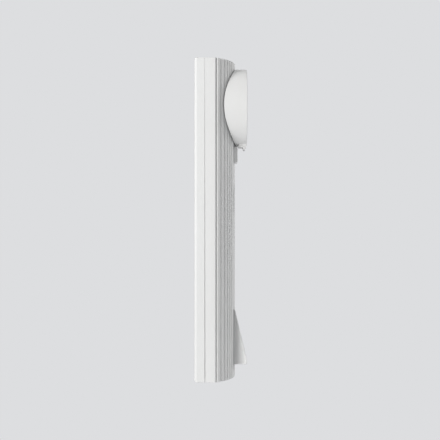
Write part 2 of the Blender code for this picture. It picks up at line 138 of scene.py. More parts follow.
def moulded(name, colour, spread, rough, grain=2600.0, strength=0.4, distance=0.00006, specular=0.5, weather=0.02):
    """Moulded plastic: fine eroded grain, slow colour drift, a little dust in the low spots."""
    m = Nodes(name, Specular_IOR_Level=specular)
    fine = m.noise(grain, 3.0, 0.6)
    mottle = m.noise(grain * 0.28, 2.0, 0.5)
    slow = m.noise(26.0, 4.0, 0.6)
    darker = mix(colour, (0.42, 0.40, 0.36), spread)
    tone = m.ramp(slow, "Fac", [(0.3, darker), (0.7, colour)])
    speck = m.add("MixRGB", blend_type="MULTIPLY", Fac=weather)
    m.link(tone, "Color", speck, "Color1")
    m.link(fine, "Color", speck, "Color2")
    m.colour(speck)
    m.rough(mottle, "Fac", rough[0], rough[1])
    m.bump((fine, "Fac", 0.7), (mottle, "Fac", 0.6), strength=strength, distance=distance)
    return m.mat


WHITE = moulded("housing_white", (0.835, 0.838, 0.832), 0.035, (0.40, 0.52))
COVER_WHITE = moulded("cover_white", (0.84, 0.842, 0.836), 0.03, (0.47, 0.55), 2900.0, 0.04, 0.00002)
HOOD_WHITE = moulded("hood_white", (0.85, 0.85, 0.842), 0.03, (0.34, 0.46), 3200.0, 0.2)
KEY_WHITE = moulded("key_white", (0.86, 0.862, 0.856), 0.025, (0.30, 0.40), 3600.0, 0.16)
BLACK = moulded("black_plastic", (0.018, 0.018, 0.02), 0.05, (0.42, 0.56), 2200.0, 0.4)
MATT_BLACK = moulded("camera_black", (0.012, 0.012, 0.013), 0.02, (0.6, 0.75), 1800.0, 0.5)
OPAL = moulded("opal_plastic", (0.86, 0.87, 0.86), 0.02, (0.32, 0.42), 2400.0, 0.15)
NYLON = moulded("natural_nylon", (0.80, 0.78, 0.70), 0.05, (0.38, 0.5), 1900.0, 0.25)
TERMINAL = moulded("terminal_green", (0.045, 0.30, 0.13), 0.05, (0.4, 0.52), 2000.0, 0.3)
CHIP = moulded("chip_epoxy", (0.022, 0.022, 0.024), 0.04, (0.5, 0.66), 4200.0, 0.5)


def rubber(name, colour=(0.022, 0.022, 0.023)):
    m = Nodes(name, Specular_IOR_Level=0.35)
    fine = m.noise(1500.0, 4.0, 0.65)
    bloom = m.noise(180.0, 3.0, 0.6)
    m.colour(m.ramp(bloom, "Fac", [(0.35, colour), (0.8, mix(colour, (0.12, 0.12, 0.12), 0.35))]))
    m.rough(fine, "Fac", 0.68, 0.9)
    m.bump((fine, "Fac", 1.0), strength=0.4, distance=0.00006)
    return m.mat


RUBBER = rubber("black_rubber")
FOAM = rubber("speaker_foam", (0.035, 0.035, 0.037))


def zinc():
    m = Nodes("zinc_steel", Metallic=1.0)
    grain = m.add("TexVoronoi", Scale=900.0)
    m.link(m.coord, "Object", grain, "Vector")
    turn = m.noise(2400.0, 2.0, 0.5, (1.0, 1.0, 0.06))
    m.colour(m.ramp(grain, "Distance", [(0.0, (0.66, 0.67, 0.69)), (0.8, (0.54, 0.55, 0.58))]))
    m.rough(turn, "Fac", 0.24, 0.42)
    m.bump((turn, "Fac", 0.6), (grain, "Distance", 0.4), strength=0.15, distance=0.00003)
    return m.mat


STEEL = zinc()


def can():
    m = Nodes("capacitor_sleeve", Specular_IOR_Level=0.55)
    fine = m.noise(1200.0, 2.0, 0.5)
    m.colour(m.ramp(fine, "Fac", [(0.3, (0.035, 0.05, 0.13)), (0.75, (0.05, 0.07, 0.17))]))
    m.rough(fine, "Fac", 0.22, 0.34)
    m.bump((fine, "Fac", 1.0), strength=0.12, distance=0.00003)
    return m.mat


CAN = can()


def circuit(name, pitch=420.0):
    """Green solder mask over tracks: long straight copper runs show through as lighter bands."""
    m = Nodes(name, Specular_IOR_Level=0.55)
    runs = m.add("TexBrick", Scale=pitch, offset=0.37, squash=1.6)
    runs.inputs["Color1"].default_value = (0.2, 0.2, 0.2, 1)
    runs.inputs["Color2"].default_value = (1, 1, 1, 1)
    runs.inputs["Mortar"].default_value = (0, 0, 0, 1)
    runs.inputs["Mortar Size"].default_value = 0.03
    runs.inputs["Brick Width"].default_value = 2.6
    runs.inputs["Row Height"].default_value = 0.42
    turn = m.add("Mapping")
    turn.inputs["Rotation"].default_value = (math.radians(90), 0.0, 0.0)
    m.link(m.coord, "Object", turn, "Vector")
    m.link(turn, "Vector", runs, "Vector")
    across = m.add("TexBrick", Scale=pitch * 0.6, offset=0.29, squash=1.3)
    across.inputs["Color1"].default_value = (0.45, 0.45, 0.45, 1)
    across.inputs["Color2"].default_value = (1, 1, 1, 1)
    across.inputs["Mortar"].default_value = (0.1, 0.1, 0.1, 1)
    across.inputs["Mortar Size"].default_value = 0.04
    across.inputs["Brick Width"].default_value = 3.4
    across.inputs["Row Height"].default_value = 1.1
    other = m.add("Mapping")
    other.inputs["Rotation"].default_value = (math.radians(90), 0.0, math.radians(90))
    m.link(m.coord, "Object", other, "Vector")
    m.link(other, "Vector", across, "Vector")
    both = m.add("MixRGB", blend_type="MULTIPLY", Fac=1.0)
    m.link(runs, "Color", both, "Color1")
    m.link(across, "Color", both, "Color2")
    mask = m.ramp(both, "Color", [(0.1, (0.012, 0.10, 0.045)), (0.6, (0.025, 0.20, 0.085))])
    m.colour(mask)
    fine = m.noise(900.0, 3.0, 0.5)
    m.rough(fine, "Fac", 0.26, 0.38)
    m.bump((both, "Color", 1.0), (fine, "Fac", 0.1), strength=0.35, distance=0.00004)
    return m.mat


BOARD = circuit("circuit_board")


def plain_metal(name, colour, rough, scale=1400.0, stretch=(1.0, 1.0, 1.0)):
    m = Nodes(name, Metallic=1.0)
    fine = m.noise(scale, 3.0, 0.55, stretch)
    m.colour(m.ramp(fine, "Fac", [(0.3, mix(colour, (0.1, 0.1, 0.1), 0.12)), (0.7, colour)]))
    m.rough(fine, "Fac", rough[0], rough[1])
    m.bump((fine, "Fac", 1.0), strength=0.12, distance=0.00003)
    return m.mat


COPPER_TIN = plain_metal("tinned_pad", (0.78, 0.76, 0.70), (0.28, 0.42))
GOLD = plain_metal("gilt_contact", (0.83, 0.62, 0.25), (0.22, 0.34))
ALUMINIUM = plain_metal("aluminium_can", (0.76, 0.77, 0.79), (0.24, 0.36))
FERRITE = plain_metal("nickel_magnet", (0.52, 0.52, 0.54), (0.30, 0.44))


def glossy(name, low, high, rough, alpha=1.0, coat=0.0, specular=0.5, scale=60.0, transmission=0.0, ior=1.5, bumpy=True):
    m = Nodes(name, Alpha=alpha, Coat_Weight=coat, Specular_IOR_Level=specular, Transmission_Weight=transmission, IOR=ior)
    slow = m.noise(scale, 3.0, 0.5)
    smear = m.noise(scale * 9.0, 2.0, 0.5)
    m.colour(m.ramp(slow, "Fac", [(0.3, low), (0.7, high)]))
    m.rough(smear, "Fac", rough[0], rough[1])
    if bumpy:
        m.bump((smear, "Fac", 1.0), strength=0.02, distance=0.00002)
    return m.mat


SMOKE = glossy("smoked_window", (0.010, 0.010, 0.013), (0.016, 0.016, 0.020), (0.02, 0.045), alpha=0.34, scale=24.0, bumpy=False)
CLEAR = glossy("clear_window", (0.90, 0.92, 0.92), (0.95, 0.96, 0.96), (0.03, 0.07), alpha=0.16, specular=0.6, scale=30.0, bumpy=False)
# painted reflection: the lens's purple-to-teal base colour paints the coating's coloured glint into the glass's own
# colour
LENS_PAINTED_GLINT = glossy("coated_lens_painted_glint", (0.05, 0.03, 0.13), (0.04, 0.11, 0.16), (0.01, 0.03), coat=1.0, specular=1.0, scale=300.0)
LED_CLEAR = glossy("led_epoxy", (0.34, 0.22, 0.42), (0.44, 0.32, 0.52), (0.04, 0.09), coat=0.6, scale=400.0)
LED_WHITE = glossy("led_phosphor", (0.80, 0.70, 0.25), (0.86, 0.78, 0.34), (0.25, 0.4), scale=700.0)


def paper(name, low, high, rough=(0.82, 0.95), scale=700.0, strength=0.35):
    m = Nodes(name, Specular_IOR_Level=0.25)
    fibre = m.noise(scale, 5.0, 0.65, (1.0, 1.0, 0.25))
    across = m.noise(scale * 1.3, 4.0, 0.6, (0.25, 1.0, 1.0))
    both = m.add("MixRGB", blend_type="MIX", Fac=0.5)
    m.link(fibre, "Color", both, "Color1")
    m.link(across, "Color", both, "Color2")
    m.colour(m.ramp(both, "Color", [(0.3, low), (0.7, high)]))
    m.rough(fibre, "Fac", rough[0], rough[1])
    m.bump((fibre, "Fac", 0.5), (across, "Fac", 0.5), strength=strength, distance=0.00004)
    return m.mat


CARD = paper("name_card", (0.84, 0.84, 0.82), (0.90, 0.90, 0.885))
CONE = paper("cone_paper", (0.016, 0.016, 0.018), (0.035, 0.035, 0.038), (0.75, 0.95), 500.0, 0.6)


# ================================================================ mesh helpers
def point(axis, u, v, t):
    if axis == "X":  # outline (depth, z)
        return Vector((t, -u, v)) * MM
    if axis == "Y":  # outline (x, z), t is a depth
        return Vector((u, -t, v)) * MM
    return Vector((u, -v, t)) * MM  # outline (x, depth)


def area(loop):
    return 0.5 * sum(a[0] * b[1] - b[0] * a[1] for a, b in zip(loop, loop[1:] + loop[:1]))


def offset_loop(loop, dist):
    """The loop moved inwards by dist along its corners' mitres."""
    if abs(dist) < 1e-9:
        return list(loop)
    sign = 1.0 if area(loop) > 0 else -1.0
    out = []
    count = len(loop)
    for i in range(count):
        a, b, c = loop[i - 1], loop[i], loop[(i + 1) % count]
        e1 = (b[0] - a[0], b[1] - a[1])
        e2 = (c[0] - b[0], c[1] - b[1])
        l1, l2 = math.hypot(*e1) or 1e-9, math.hypot(*e2) or 1e-9
        n1 = (-e1[1] / l1 * sign, e1[0] / l1 * sign)
        n2 = (-e2[1] / l2 * sign, e2[0] / l2 * sign)
        bis = (n1[0] + n2[0], n1[1] + n2[1])
        dot = 1.0 + n1[0] * n2[0] + n1[1] * n2[1]
        k = dist / max(dot, 0.35)
        out.append((b[0] + bis[0] * k, b[1] + bis[1] * k))
    return out


def fillet(points, radius, steps=4):
    """Rounds the corners of a closed polygon; radius is one number or one per corner."""
    count = len(points)
    radii = radius if isinstance(radius, (list, tuple)) else [radius] * count
    out = []
    for i in range(count):
        a, b, c = Vector(points[i - 1]), Vector(points[i]), Vector(points[(i + 1) % count])
        u, v = (a - b), (c - b)
        lu, lv = u.length, v.length
        r = radii[i]
        if r <= 0:
            out.append(tuple(b))
            continue
        u, v = u / lu, v / lv
        angle = math.acos(max(-1.0, min(1.0, u.dot(v))))
        if angle > math.radians(176):
            out.append(tuple(b))
            continue
        reach = min(r / math.tan(angle / 2), 0.49 * lu, 0.49 * lv)
        r = reach * math.tan(angle / 2)
        start, end = b + u * reach, b + v * reach
        centre = b + (u + v).normalized() * (r / math.sin(angle / 2))
        a0 = math.atan2(start.y - centre.y, start.x - centre.x)
        a1 = math.atan2(end.y - centre.y, end.x - centre.x)
        turn = (a1 - a0 + math.pi) % (2 * math.pi) - math.pi
        for k in range(steps + 1):
            t = a0 + turn * k / steps
            out.append((centre.x + r * math.cos(t), centre.y + r * math.sin(t)))
    return out


def rect(x0, x1, z0, z1, r=0.0, steps=5):
    pts = [(x0, z0), (x1, z0), (x1, z1), (x0, z1)]
    return fillet(pts, r, steps) if r else pts


def circle(cx, cz, r, steps):
    return [(cx + r * math.cos(2 * math.pi * k / steps), cz + r * math.sin(2 * math.pi * k / steps)) for k in range(steps)]


def make(name, bm, mat, angle=32):
    bmesh.ops.remove_doubles(bm, verts=bm.verts, dist=1e-8)
    bmesh.ops.recalc_face_normals(bm, faces=bm.faces)
    mesh = bpy.data.meshes.new(name)
    bm.to_mesh(mesh)
    bm.free()
    mesh.materials.append(mat)
    obj = bpy.data.objects.new(name, mesh)
    bpy.context.scene.collection.objects.link(obj)
    mesh.shade_smooth()
    mesh.set_sharp_from_angle(angle=math.radians(angle))
    return obj


def skin(name, loops, mat, angle=32):
    """A closed skin over loops of equal length (points in metres), capped at both ends."""
    bm = bmesh.new()
    rings = [[bm.verts.new(p) for p in loop] for loop in loops]
    for one, two in zip(rings, rings[1:]):
        for k in range(len(one)):
            m = (k + 1) % len(one)
            bm.faces.new((one[k], one[m], two[m], two[k]))
    for ring in (rings[0], rings[-1]):
        if max(v.co.x for v in ring) - min(v.co.x for v in ring) < 1e-7:
            for tri in tessellate_polygon([[v.co / MM for v in ring]]):
                bm.faces.new([ring[i] for i in tri])
        else:
            bmesh.ops.triangulate(bm, faces=[bm.faces.new(ring)], quad_method="BEAUTY", ngon_method="BEAUTY")
    return make(name, bm, mat, angle)


def quarter(r, steps, flip=False):
    """(inset, along) pairs of a quarter round, from the cap inwards to the wall."""
    return [(r * (1 - math.sin(math.pi / 2 * k / steps)), r * (1 - math.cos(math.pi / 2 * k / steps))) for k in range(steps + 1)]


def soft_prism(name, outline, low, high, axis, mat, r=0.3, steps=3, r_high=None, angle=32):
    """An extrusion whose end edges are rounded by r (low end) and r_high (high end)."""
    r_high = r if r_high is None else r_high
    loops = []
    if r > 0:
        for inset, along in quarter(r, steps):
            loops.append([point(axis, u, v, low + along) for u, v in offset_loop(outline, inset)])
    else:
        loops.append([point(axis, u, v, low) for u, v in outline])
    if r_high > 0:
        for inset, along in reversed(quarter(r_high, steps)):
            loops.append([point(axis, u, v, high - along) for u, v in offset_loop(outline, inset)])
    else:
        loops.append([point(axis, u, v, high) for u, v in outline])
    return skin(name, loops, mat, angle)


def soft_block(name, x, depth, z, mat, r=0.3, corner=None, steps=3, along="Y"):
    corner = r if corner is None else corner
    if along == "Y":
        return soft_prism(name, rect(x[0], x[1], z[0], z[1], corner), depth[0], depth[1], "Y", mat, r, steps)
    if along == "Z":
        return soft_prism(name, rect(x[0], x[1], depth[0], depth[1], corner), z[0], z[1], "Z", mat, r, steps)
    return soft_prism(name, rect(depth[0], depth[1], z[0], z[1], corner), x[0], x[1], "X", mat, r, steps)


def turned(name, profile, centre, axis, steps, mat, angle=32, radii=0.0, fsteps=4):
    if radii:
        profile = fillet(profile, radii if isinstance(radii, (list, tuple)) else [0.0 if p[0] < 1e-6 else radii for p in profile], fsteps)
    bm = bmesh.new()
    rings = []
    for radius, along in profile:
        if radius < 1e-6:
            rings.append([bm.verts.new(point(axis, centre[0], centre[1], along))])
            continue
        rings.append([bm.verts.new(point(axis, centre[0] + radius * math.cos(2 * math.pi * (k + 0.5) / steps), centre[1] + radius * math.sin(2 * math.pi * (k + 0.5) / steps), along)) for k in range(steps)])
    for one, two in zip(rings, rings[1:] + rings[:1]):
        if len(one) == 1 and len(two) == 1:
            continue
        for k in range(steps):
            m = (k + 1) % steps
            if len(one) == 1:
                bm.faces.new((one[0], two[k], two[m]))
            elif len(two) == 1:
                bm.faces.new((one[k], one[m], two[0]))
            else:
                bm.faces.new((one[k], one[m], two[m], two[k]))
    return make(name, bm, mat, angle)


def cylinder(name, radius, low, high, centre, axis, mat, steps=48, r=0.2):
    return turned(name, [(0, low), (radius, low), (radius, high), (0, high)], centre, axis, steps, mat, radii=r)


def combine(obj, other, operation, angle=32):
    modifier = obj.modifiers.new("cut", "BOOLEAN")
    modifier.operation = operation
    modifier.solver = "MANIFOLD"
    modifier.object = other
    bpy.context.view_layer.update()
    result = bpy.data.meshes.new_from_object(obj.evaluated_get(bpy.context.evaluated_depsgraph_get()))
    obj.modifiers.clear()
    old = obj.data
    name = old.name
    obj.data = result
    bpy.data.meshes.remove(old)
    result.name = name
    bpy.data.objects.remove(other, do_unlink=True)
    first = obj.data.materials[0]
    keep = []
    for slot in obj.data.materials:
        if slot not in keep:
            keep.append(slot)
    if len(keep) == 1:
        obj.data.materials.clear()
        obj.data.materials.append(first)
    obj.data.shade_smooth()
    obj.data.set_sharp_from_angle(angle=math.radians(angle))
    return obj


def cut(obj, *others, angle=32):
    for other in others:
        combine(obj, other, "DIFFERENCE", angle)
    return obj


def join(obj, *others, angle=32):
    for other in others:
        combine(obj, other, "UNION", angle)
    return obj


def merge(obj, *others):
    """Puts other meshes, which stand clear or only touch, into obj's mesh with their materials."""
    mats = list(obj.data.materials)
    bm = bmesh.new()
    bm.from_mesh(obj.data)
    for other in others:
        index = []
        for slot in other.data.materials:
            if slot not in mats:
                mats.append(slot)
            index.append(mats.index(slot))
        part = bmesh.new()
        part.from_mesh(other.data)
        for face in part.faces:
            face.material_index = index[face.material_index]
        held = bpy.data.meshes.new("held")
        part.to_mesh(held)
        part.free()
        bm.from_mesh(held)
        bpy.data.meshes.remove(held)
        bpy.data.objects.remove(other, do_unlink=True)
    bm.to_mesh(obj.data)
    bm.free()
    obj.data.materials.clear()
    for slot in mats:
        obj.data.materials.append(slot)
    return obj


def weigh(obj):
    """Normals weighted by face area, so flat faces shade flat up to their rounded edges."""
    modifier = obj.modifiers.new("weigh", "WEIGHTED_NORMAL")
    modifier.keep_sharp = True
    bpy.context.view_layer.update()
    result = bpy.data.meshes.new_from_object(obj.evaluated_get(bpy.context.evaluated_depsgraph_get()))
    obj.modifiers.clear()
    old, name = obj.data, obj.data.name
    obj.data = result
    bpy.data.meshes.remove(old)
    result.name = name


def flat_ends(obj, axis=2):
    """Keeps the flat end faces flat-shaded up to the first ring of their rounded edges."""
    bm = bmesh.new()
    bm.from_mesh(obj.data)
    for edge in bm.edges:
        if len(edge.link_faces) == 2:
            ends = [abs(f.normal[axis]) > 0.99995 for f in edge.link_faces]
            if ends[0] != ends[1]:
                edge.smooth = False
    bm.to_mesh(obj.data)
    bm.free()


def ideal_normals(obj, rule):
    """Gives the corners of chosen faces the normals of the ideal surface; rule(centre, normal) returns None or f(point)."""
    mesh = obj.data
    normals = [tuple(n.vector) for n in mesh.corner_normals]
    changed = False
    for poly in mesh.polygons:
        where = rule(poly.center / MM, poly.normal)
        if where is None:
            continue
        for index in poly.loop_indices:
            normals[index] = tuple(where(mesh.vertices[mesh.loops[index].vertex_index].co / MM))
            changed = True
    if changed:
        mesh.normals_split_custom_set(normals)


def put(obj, body, node, weighted=True):
    if weighted:
        weigh(obj)
    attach(obj, body)
    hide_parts(node)
    return obj


# ================================================================ the ribbed convex front
def crown(x, off=0.0):
    return APEX - RADIUS + math.sqrt((RADIUS + off) ** 2 - x * x)


GROOVE_PLACES = [GROOVE_FIRST - k * GROOVE_PITCH for k in range(GROOVES)]
RIB_SAG = 0.30
def on_skin(x, deep):
    """The point deep mm below the convex skin, square to it, under the skin's point at x."""
    angle = math.asin(x / RADIUS)
    return ((RADIUS - deep) * math.sin(angle), APEX - RADIUS + (RADIUS - deep) * math.cos(angle))


def rib_sag(x):
    """How far the rounded rib tops lie below the plain convex skin."""
    if x > GROOVE_FIRST:
        return RIB_SAG
    if x > GROOVE_PLACES[-1]:
        t = ((GROOVE_FIRST - x) / GROOVE_PITCH) % 1.0 - 0.5
        return RIB_SAG * (2 * t) ** 2
    if x > GROOVE_PLACES[-1] - 2.25:
        return RIB_SAG * ((x - GROOVE_PLACES[-1] + 2.25) / 2.25) ** 2
    return 0.0


def half_skin():
    """(x, depth) from the flank's corner in to the middle: rounded ribs between steep grooves with small fillets."""
    section = fillet([(1.3, 0.0), (0.82, 0.0), (0.64, 1.02), (-0.64, 1.02), (-0.82, 0.0), (-1.3, 0.0), (0.0, -9.0)], [0, 0.3, 0.34, 0.34, 0.3, 0, 0], 4)
    section = [p for p in section if p[1] > -1.0]
    pts = [on_skin(42.80, rib_sag(42.0) + 0.06), on_skin(42.68, rib_sag(42.0) + 0.01)]
    for number, middle in enumerate(GROOVE_PLACES):
        for t, h in section:
            if number == 0 and t > 0:
                if t > 1.0:
                    continue
                t *= 0.80
            pts.append(on_skin(middle + t, h + rib_sag(min(middle + t, GROOVE_FIRST if number == 0 and t > 0 else 99))))
        if number < GROOVES - 1:
            low, high = middle - 1.3, GROOVE_PLACES[number + 1] + 1.3
            pts += [on_skin(x, rib_sag(x)) for x in (low + (high - low) * k / 6 for k in range(1, 6))]
    x = GROOVE_PLACES[-1] - 1.3
    pts += [on_skin(v, rib_sag(v)) for v in (x - 0.32, x - 0.64, x - 0.96)]
    x -= 0.96
    count = 18
    return pts + [on_skin(x * (count - k) / count, 0.0) for k in range(1, count + 1)]


HALF_SKIN = half_skin()


def cover_outline(inset=0.0, back=9.45):
    """Closed outline (x, depth) of the cover's outside."""
    half = [(HALF_WIDTH, back)]
    start = HALF_SKIN[0]
    a, b, c = Vector((HALF_WIDTH, start[1] - 0.62)), Vector((HALF_WIDTH, start[1] - 0.12)), Vector(start)
    for k in range(5):
        t = k / 5
        half.append(tuple((1 - t) ** 2 * a + 2 * t * (1 - t) * b + t * t * c))
    half += HALF_SKIN
    moved = [(x * (1 - inset / HALF_WIDTH), d - (inset if d > back + 0.1 else 0.0)) for x, d in half]
    left = [(-x, d) for x, d in reversed(moved[:-1])]
    return moved + left


def smooth_outline(off, back, samples=64):
    half = HALF_WIDTH + off
    loop = [(half, back)]
    loop += [(half * (1 - 2 * k / samples), crown(half * (1 - 2 * k / samples), off)) for k in range(samples + 1)]
    loop.append((-half, back))
    return loop


def surface_cutter(name, loop_xz, lip=0.3, floor=22.0, steps=3):
    """A cutter for an opening in the convex front, with a small round lip that follows the surface."""
    dense = []
    for a, b in zip(loop_xz, loop_xz[1:] + loop_xz[:1]):
        parts = max(1, int(abs(b[0] - a[0]) / 1.2 + 0.999), int(abs(b[1] - a[1]) / 12 + 0.999))
        for k in range(parts):
            dense.append((a[0] + (b[0] - a[0]) * k / parts, a[1] + (b[1] - a[1]) * k / parts))
    loops = []
    for grow, above in [(lip * 1.35, 0.6)] + [(lip * (1 - math.sin(math.pi / 2 * k / steps)), -lip * (1 - math.cos(math.pi / 2 * k / steps))) for k in range(steps + 1)]:
        ring = offset_loop(dense, -grow)
        loops.append([point("Y", x, z, crown(x) + above + 0.02) for x, z in ring])
    loops.append([point("Y", x, z, floor) for x, z in dense])
    return skin(name, loops, WHITE)


# ---------------------------------------------------------------- front cover
loops = []
end_round = [(0.45 * (1 - math.sin(math.pi / 2 * k / 4)), 0.45 * (1 - math.cos(math.pi / 2 * k / 4))) for k in range(5)]
levels = [(i, -HALF_HEIGHT + a) for i, a in end_round] + [(0.0, z) for z in (-100.0, -50.0, 0.0, 50.0, 100.0)] + [(i, HALF_HEIGHT - a) for i, a in reversed(end_round)]
for inset, z in levels:
    # the joint line is a little wider towards the lower end, where the screw pulls the cover in
    loops.append([point("Z", x, d, z) for x, d in cover_outline(inset, 9.49 - 0.20 * z / HALF_HEIGHT)])
cover = skin("front_cover_shell", loops, COVER_WHITE, 28)
inner = [(HALF_WIDTH - WALL, 8.0)] + [((HALF_WIDTH - WALL) * (1 - k / 20), crown((HALF_WIDTH - WALL) * (1 - k / 20), -WALL)) for k in range(41)] + [(-HALF_WIDTH + WALL, 8.0)]
cut(cover, soft_prism("c", inner, -HALF_HEIGHT + WALL, HALF_HEIGHT - WALL, "Z", WHITE, 0), angle=28)
# rebate for the rear housing's tongue
cut(cover, soft_prism("c", rect(-41.95, 41.95, -141.4, 141.4, 0.6), 8.0, 11.35, "Y", WHITE, 0), angle=28)
cut(cover, turned("c", [(0, 8.0), (32.4, 8.0), (32.4, 60.0), (0, 60.0)], (0.0, HOOD_Z), "Y", 128, WHITE), angle=28)
cut(cover, surface_cutter("c", rect(-12.4, 12.4, 51.8, 66.8, 1.2), 0.35), angle=28)
for k in range(-3, 4):
    x = k * GROOVE_PITCH
    reach = math.sqrt(16.8**2 - x * x)
    cut(cover, surface_cutter("c", rect(x - 0.8, x + 0.8, SPEAKER_Z - reach, SPEAKER_Z + reach, 0.78, 6), 0.3), angle=28)
cut(cover, surface_cutter("c", rect(-13.0, 13.0, -131.3, -81.0, 1.0), 0.35), angle=28)
cut(cover, surface_cutter("c", circle(0.0, -135.6, 0.8, 24), 0.3), angle=28)
cut(cover, turned("c", [(0, -143.5), (3.4, -143.5), (3.0, -142.1), (3.0, -141.1), (1.8, -141.1), (1.8, -138.0), (0, -138.0)], (0.0, 14.5), "Z", 48, WHITE), angle=28)
for side in (-1, 1):
    low, high = sorted((side * 13.4, side * 15.8))
    join(cover, soft_block("c", (low, high), (28.4, 33.0), (-86.8, -81.3), WHITE, 0.25, 0.5, along="X"), angle=28)
    cut(cover, cylinder("c", 1.15, low - 0.4, high + 0.4, KEY_PIVOT, "X", WHITE, 32, 0), angle=28)
flat_ends(cover)
EDGE = [Vector(p) for p in cover_outline(0.0, 9.47)]
SIDES = []
for a, b in zip(EDGE, EDGE[1:] + EDGE[:1]):
    run = (b - a).normalized()
    SIDES.append(Vector((run.y, -run.x)))
if area([tuple(p) for p in EDGE]) < 0:
    SIDES = [-n for n in SIDES]
CORNERS = []
for k in range(len(EDGE)):
    one, two = SIDES[k - 1], SIDES[k]
    CORNERS.append((one, two) if one.dot(two) < math.cos(math.radians(28)) else ((one + two).normalized(),) * 2)


def skin_normal(spot):
    """The ribbed skin's own normal at a point (x, y, z in mm), or None away from the skin."""
    here = Vector((spot.x, -spot.y))
    best = None
    for k in range(len(EDGE)):
        a, b = EDGE[k], EDGE[(k + 1) % len(EDGE)]
        if min(a.x, b.x) - 0.05 > here.x or max(a.x, b.x) + 0.05 < here.x:
            continue
        run = b - a
        t = max(0.0, min(1.0, (here - a).dot(run) / run.length_squared))
        gap = (a + run * t - here).length
        if best is None or gap < best[0]:
            best = (gap, k, t)
    if best is None or best[0] > 0.02:
        return None
    gap, k, t = best
    n = CORNERS[k][1].lerp(CORNERS[(k + 1) % len(EDGE)][0], t).normalized()
    return Vector((n.x, -n.y, 0.0))


def cover_rule(centre, normal):
    if abs(normal.z) > 0.02 or -centre.y < 9.7:
        return None
    own = skin_normal(centre)
    if own is None or own.dot(normal) < 0.9:
        return None
    return lambda spot: skin_normal(spot) or own


ideal_normals(cover, cover_rule)
put(cover, "housing", "front_cover", False)

# ---------------------------------------------------------------- rear housing
loops = []
for k in range(9):
    a = math.pi / 2 * k / 8
    inset = 2.4 * (1 - math.sin(a))
    loops.append([point("Y", u, v, 2.4 * (1 - math.cos(a))) for u, v in rect(-HALF_WIDTH + inset, HALF_WIDTH - inset, -HALF_HEIGHT + inset, HALF_HEIGHT - inset, 0.7, 5)])
for lower, upper, inset in ((9.02, 8.98, 0.0), (9.12, 9.10, 0.03), (9.19, 9.18, 0.10), (9.22, 9.22, 0.2)):
    edge = rect(-HALF_WIDTH + inset, HALF_WIDTH - inset, -HALF_HEIGHT + inset, HALF_HEIGHT - inset, 0.6, 5)
    loops.append([point("Y", u, v, upper) for u, v in edge])
rear = skin("rear_housing_shell", loops, WHITE, 28)
# tongue that closes the joint line from inside
tongue = soft_prism("c", rect(-41.7, 41.7, -141.15, 141.15, 0.6), 7.0, 11.1, "Y", WHITE, 0.0, r_high=0.25)
join(rear, tongue, angle=28)
cut(rear, soft_prism("c", rect(-40.65, 40.65, -140.1, 140.1, 0.8), WALL, 14.0, "Y", WHITE, 0.6, r_high=0), angle=28)
# back face: shallow fields between flat bars, so that it bears on the bars
FIELDS = [
    (-38.0, -4.0, 6.0, 66.0),
    (4.0, 38.0, 6.0, 66.0),
    (-38.0, -4.0, 72.0, 122.0),
    (4.0, 38.0, 72.0, 122.0),
    (-38.0, -15.0, -66.0, -6.0),
    (15.0, 38.0, -66.0, -6.0),
    (-38.0, -4.0, -112.0, -72.0),
    (4.0, 38.0, -112.0, -72.0),
]
for x0, x1, z0, z1 in FIELDS:
    cut(rear, soft_prism("c", rect(x0, x1, z0, z1, 2.2, 6), -1.0, 0.9, "Y", WHITE, 0, r_high=0.35), angle=28)
for sx, sz in [(-31.0, 131.0), (31.0, 131.0), (-31.0, -121.0), (31.0, -121.0)]:
    cut(rear, turned("c", [(0, -1.0), (2.9, -1.0), (2.9, 0.0), (2.3, 0.5), (2.3, 4.5), (0, 4.5)], (sx, sz), "Y", 40, WHITE), angle=28)
    join(rear, turned("c", [(2.6, 2.2), (4.6, 2.2), (4.6, 3.6), (2.6, 3.6)], (sx, sz), "Y", 40, WHITE, radii=0.25), angle=28)
BOARD_SCREWS = [(-30.0, 54.0), (30.0, 54.0), (-30.0, -90.0), (30.0, -90.0)]
BASE_SCREWS = [(-21.0, HOOD_Z), (21.0, HOOD_Z)]
for (sx, sz), top, low in [(p, 9.7, 3.2) for p in BOARD_SCREWS] + [(p, 6.2, 2.9) for p in BASE_SCREWS]:
    join(rear, turned("c", [(0, 2.0), (4.2, 2.0), (3.6, 2.9), (3.6, top), (0, top)], (sx, sz), "Y", 40, WHITE, radii=0.2), angle=28)
    cut(rear, turned("c", [(0, low), (1.5, low), (1.5, top - 0.3), (1.9, top + 0.1), (1.9, 12.0), (0, 12.0)], (sx, sz), "Y", 32, WHITE), angle=28)
join(rear, soft_block("c", (-6.0, 6.0), (2.0, 18.0), (-137.5, -131.0), WHITE, 0.4, 0.8), angle=28)
cut(rear, cylinder("c", 1.6, -139.0, -132.4, (0.0, 14.5), "Z", WHITE, 32, 0), angle=28)
cut(rear, soft_prism("c", rect(-12.0, 12.0, CABLE_Z - 8, CABLE_Z + 8, 2.4, 6), -1.0, 5.0, "Y", WHITE, 0), angle=28)
put(rear, "housing", "rear_housing")

# ---------------------------------------------------------------- grommet, seal, cover screw
grommet = soft_prism("cable_grommet_body", rect(-11.6, 11.6, CABLE_Z - 7.6, CABLE_Z + 7.6, 2.2, 6), 0.35, 3.4, "Y", RUBBER, 0.35)
join(grommet, soft_prism("c", rect(-14.0, 14.0, CABLE_Z - 10, CABLE_Z + 10, 2.6, 6), 2.8, 4.2, "Y", RUBBER, 0.4))
join(grommet, turned("c", [(4.0, 0.4), (7.4, 0.4), (6.6, 4.2), (6.0, 7.2), (4.0, 7.2)], (0.0, CABLE_Z), "Y", 64, RUBBER, radii=0.3))
cut(grommet, turned("c", [(0, -1.0), (5.9, -1.0), (5.0, 1.2), (4.6, 4.0), (5.2, 9.0), (0, 9.0)], (0.0, CABLE_Z), "Y", 64, RUBBER))
put(grommet, "housing", "cable_grommet")

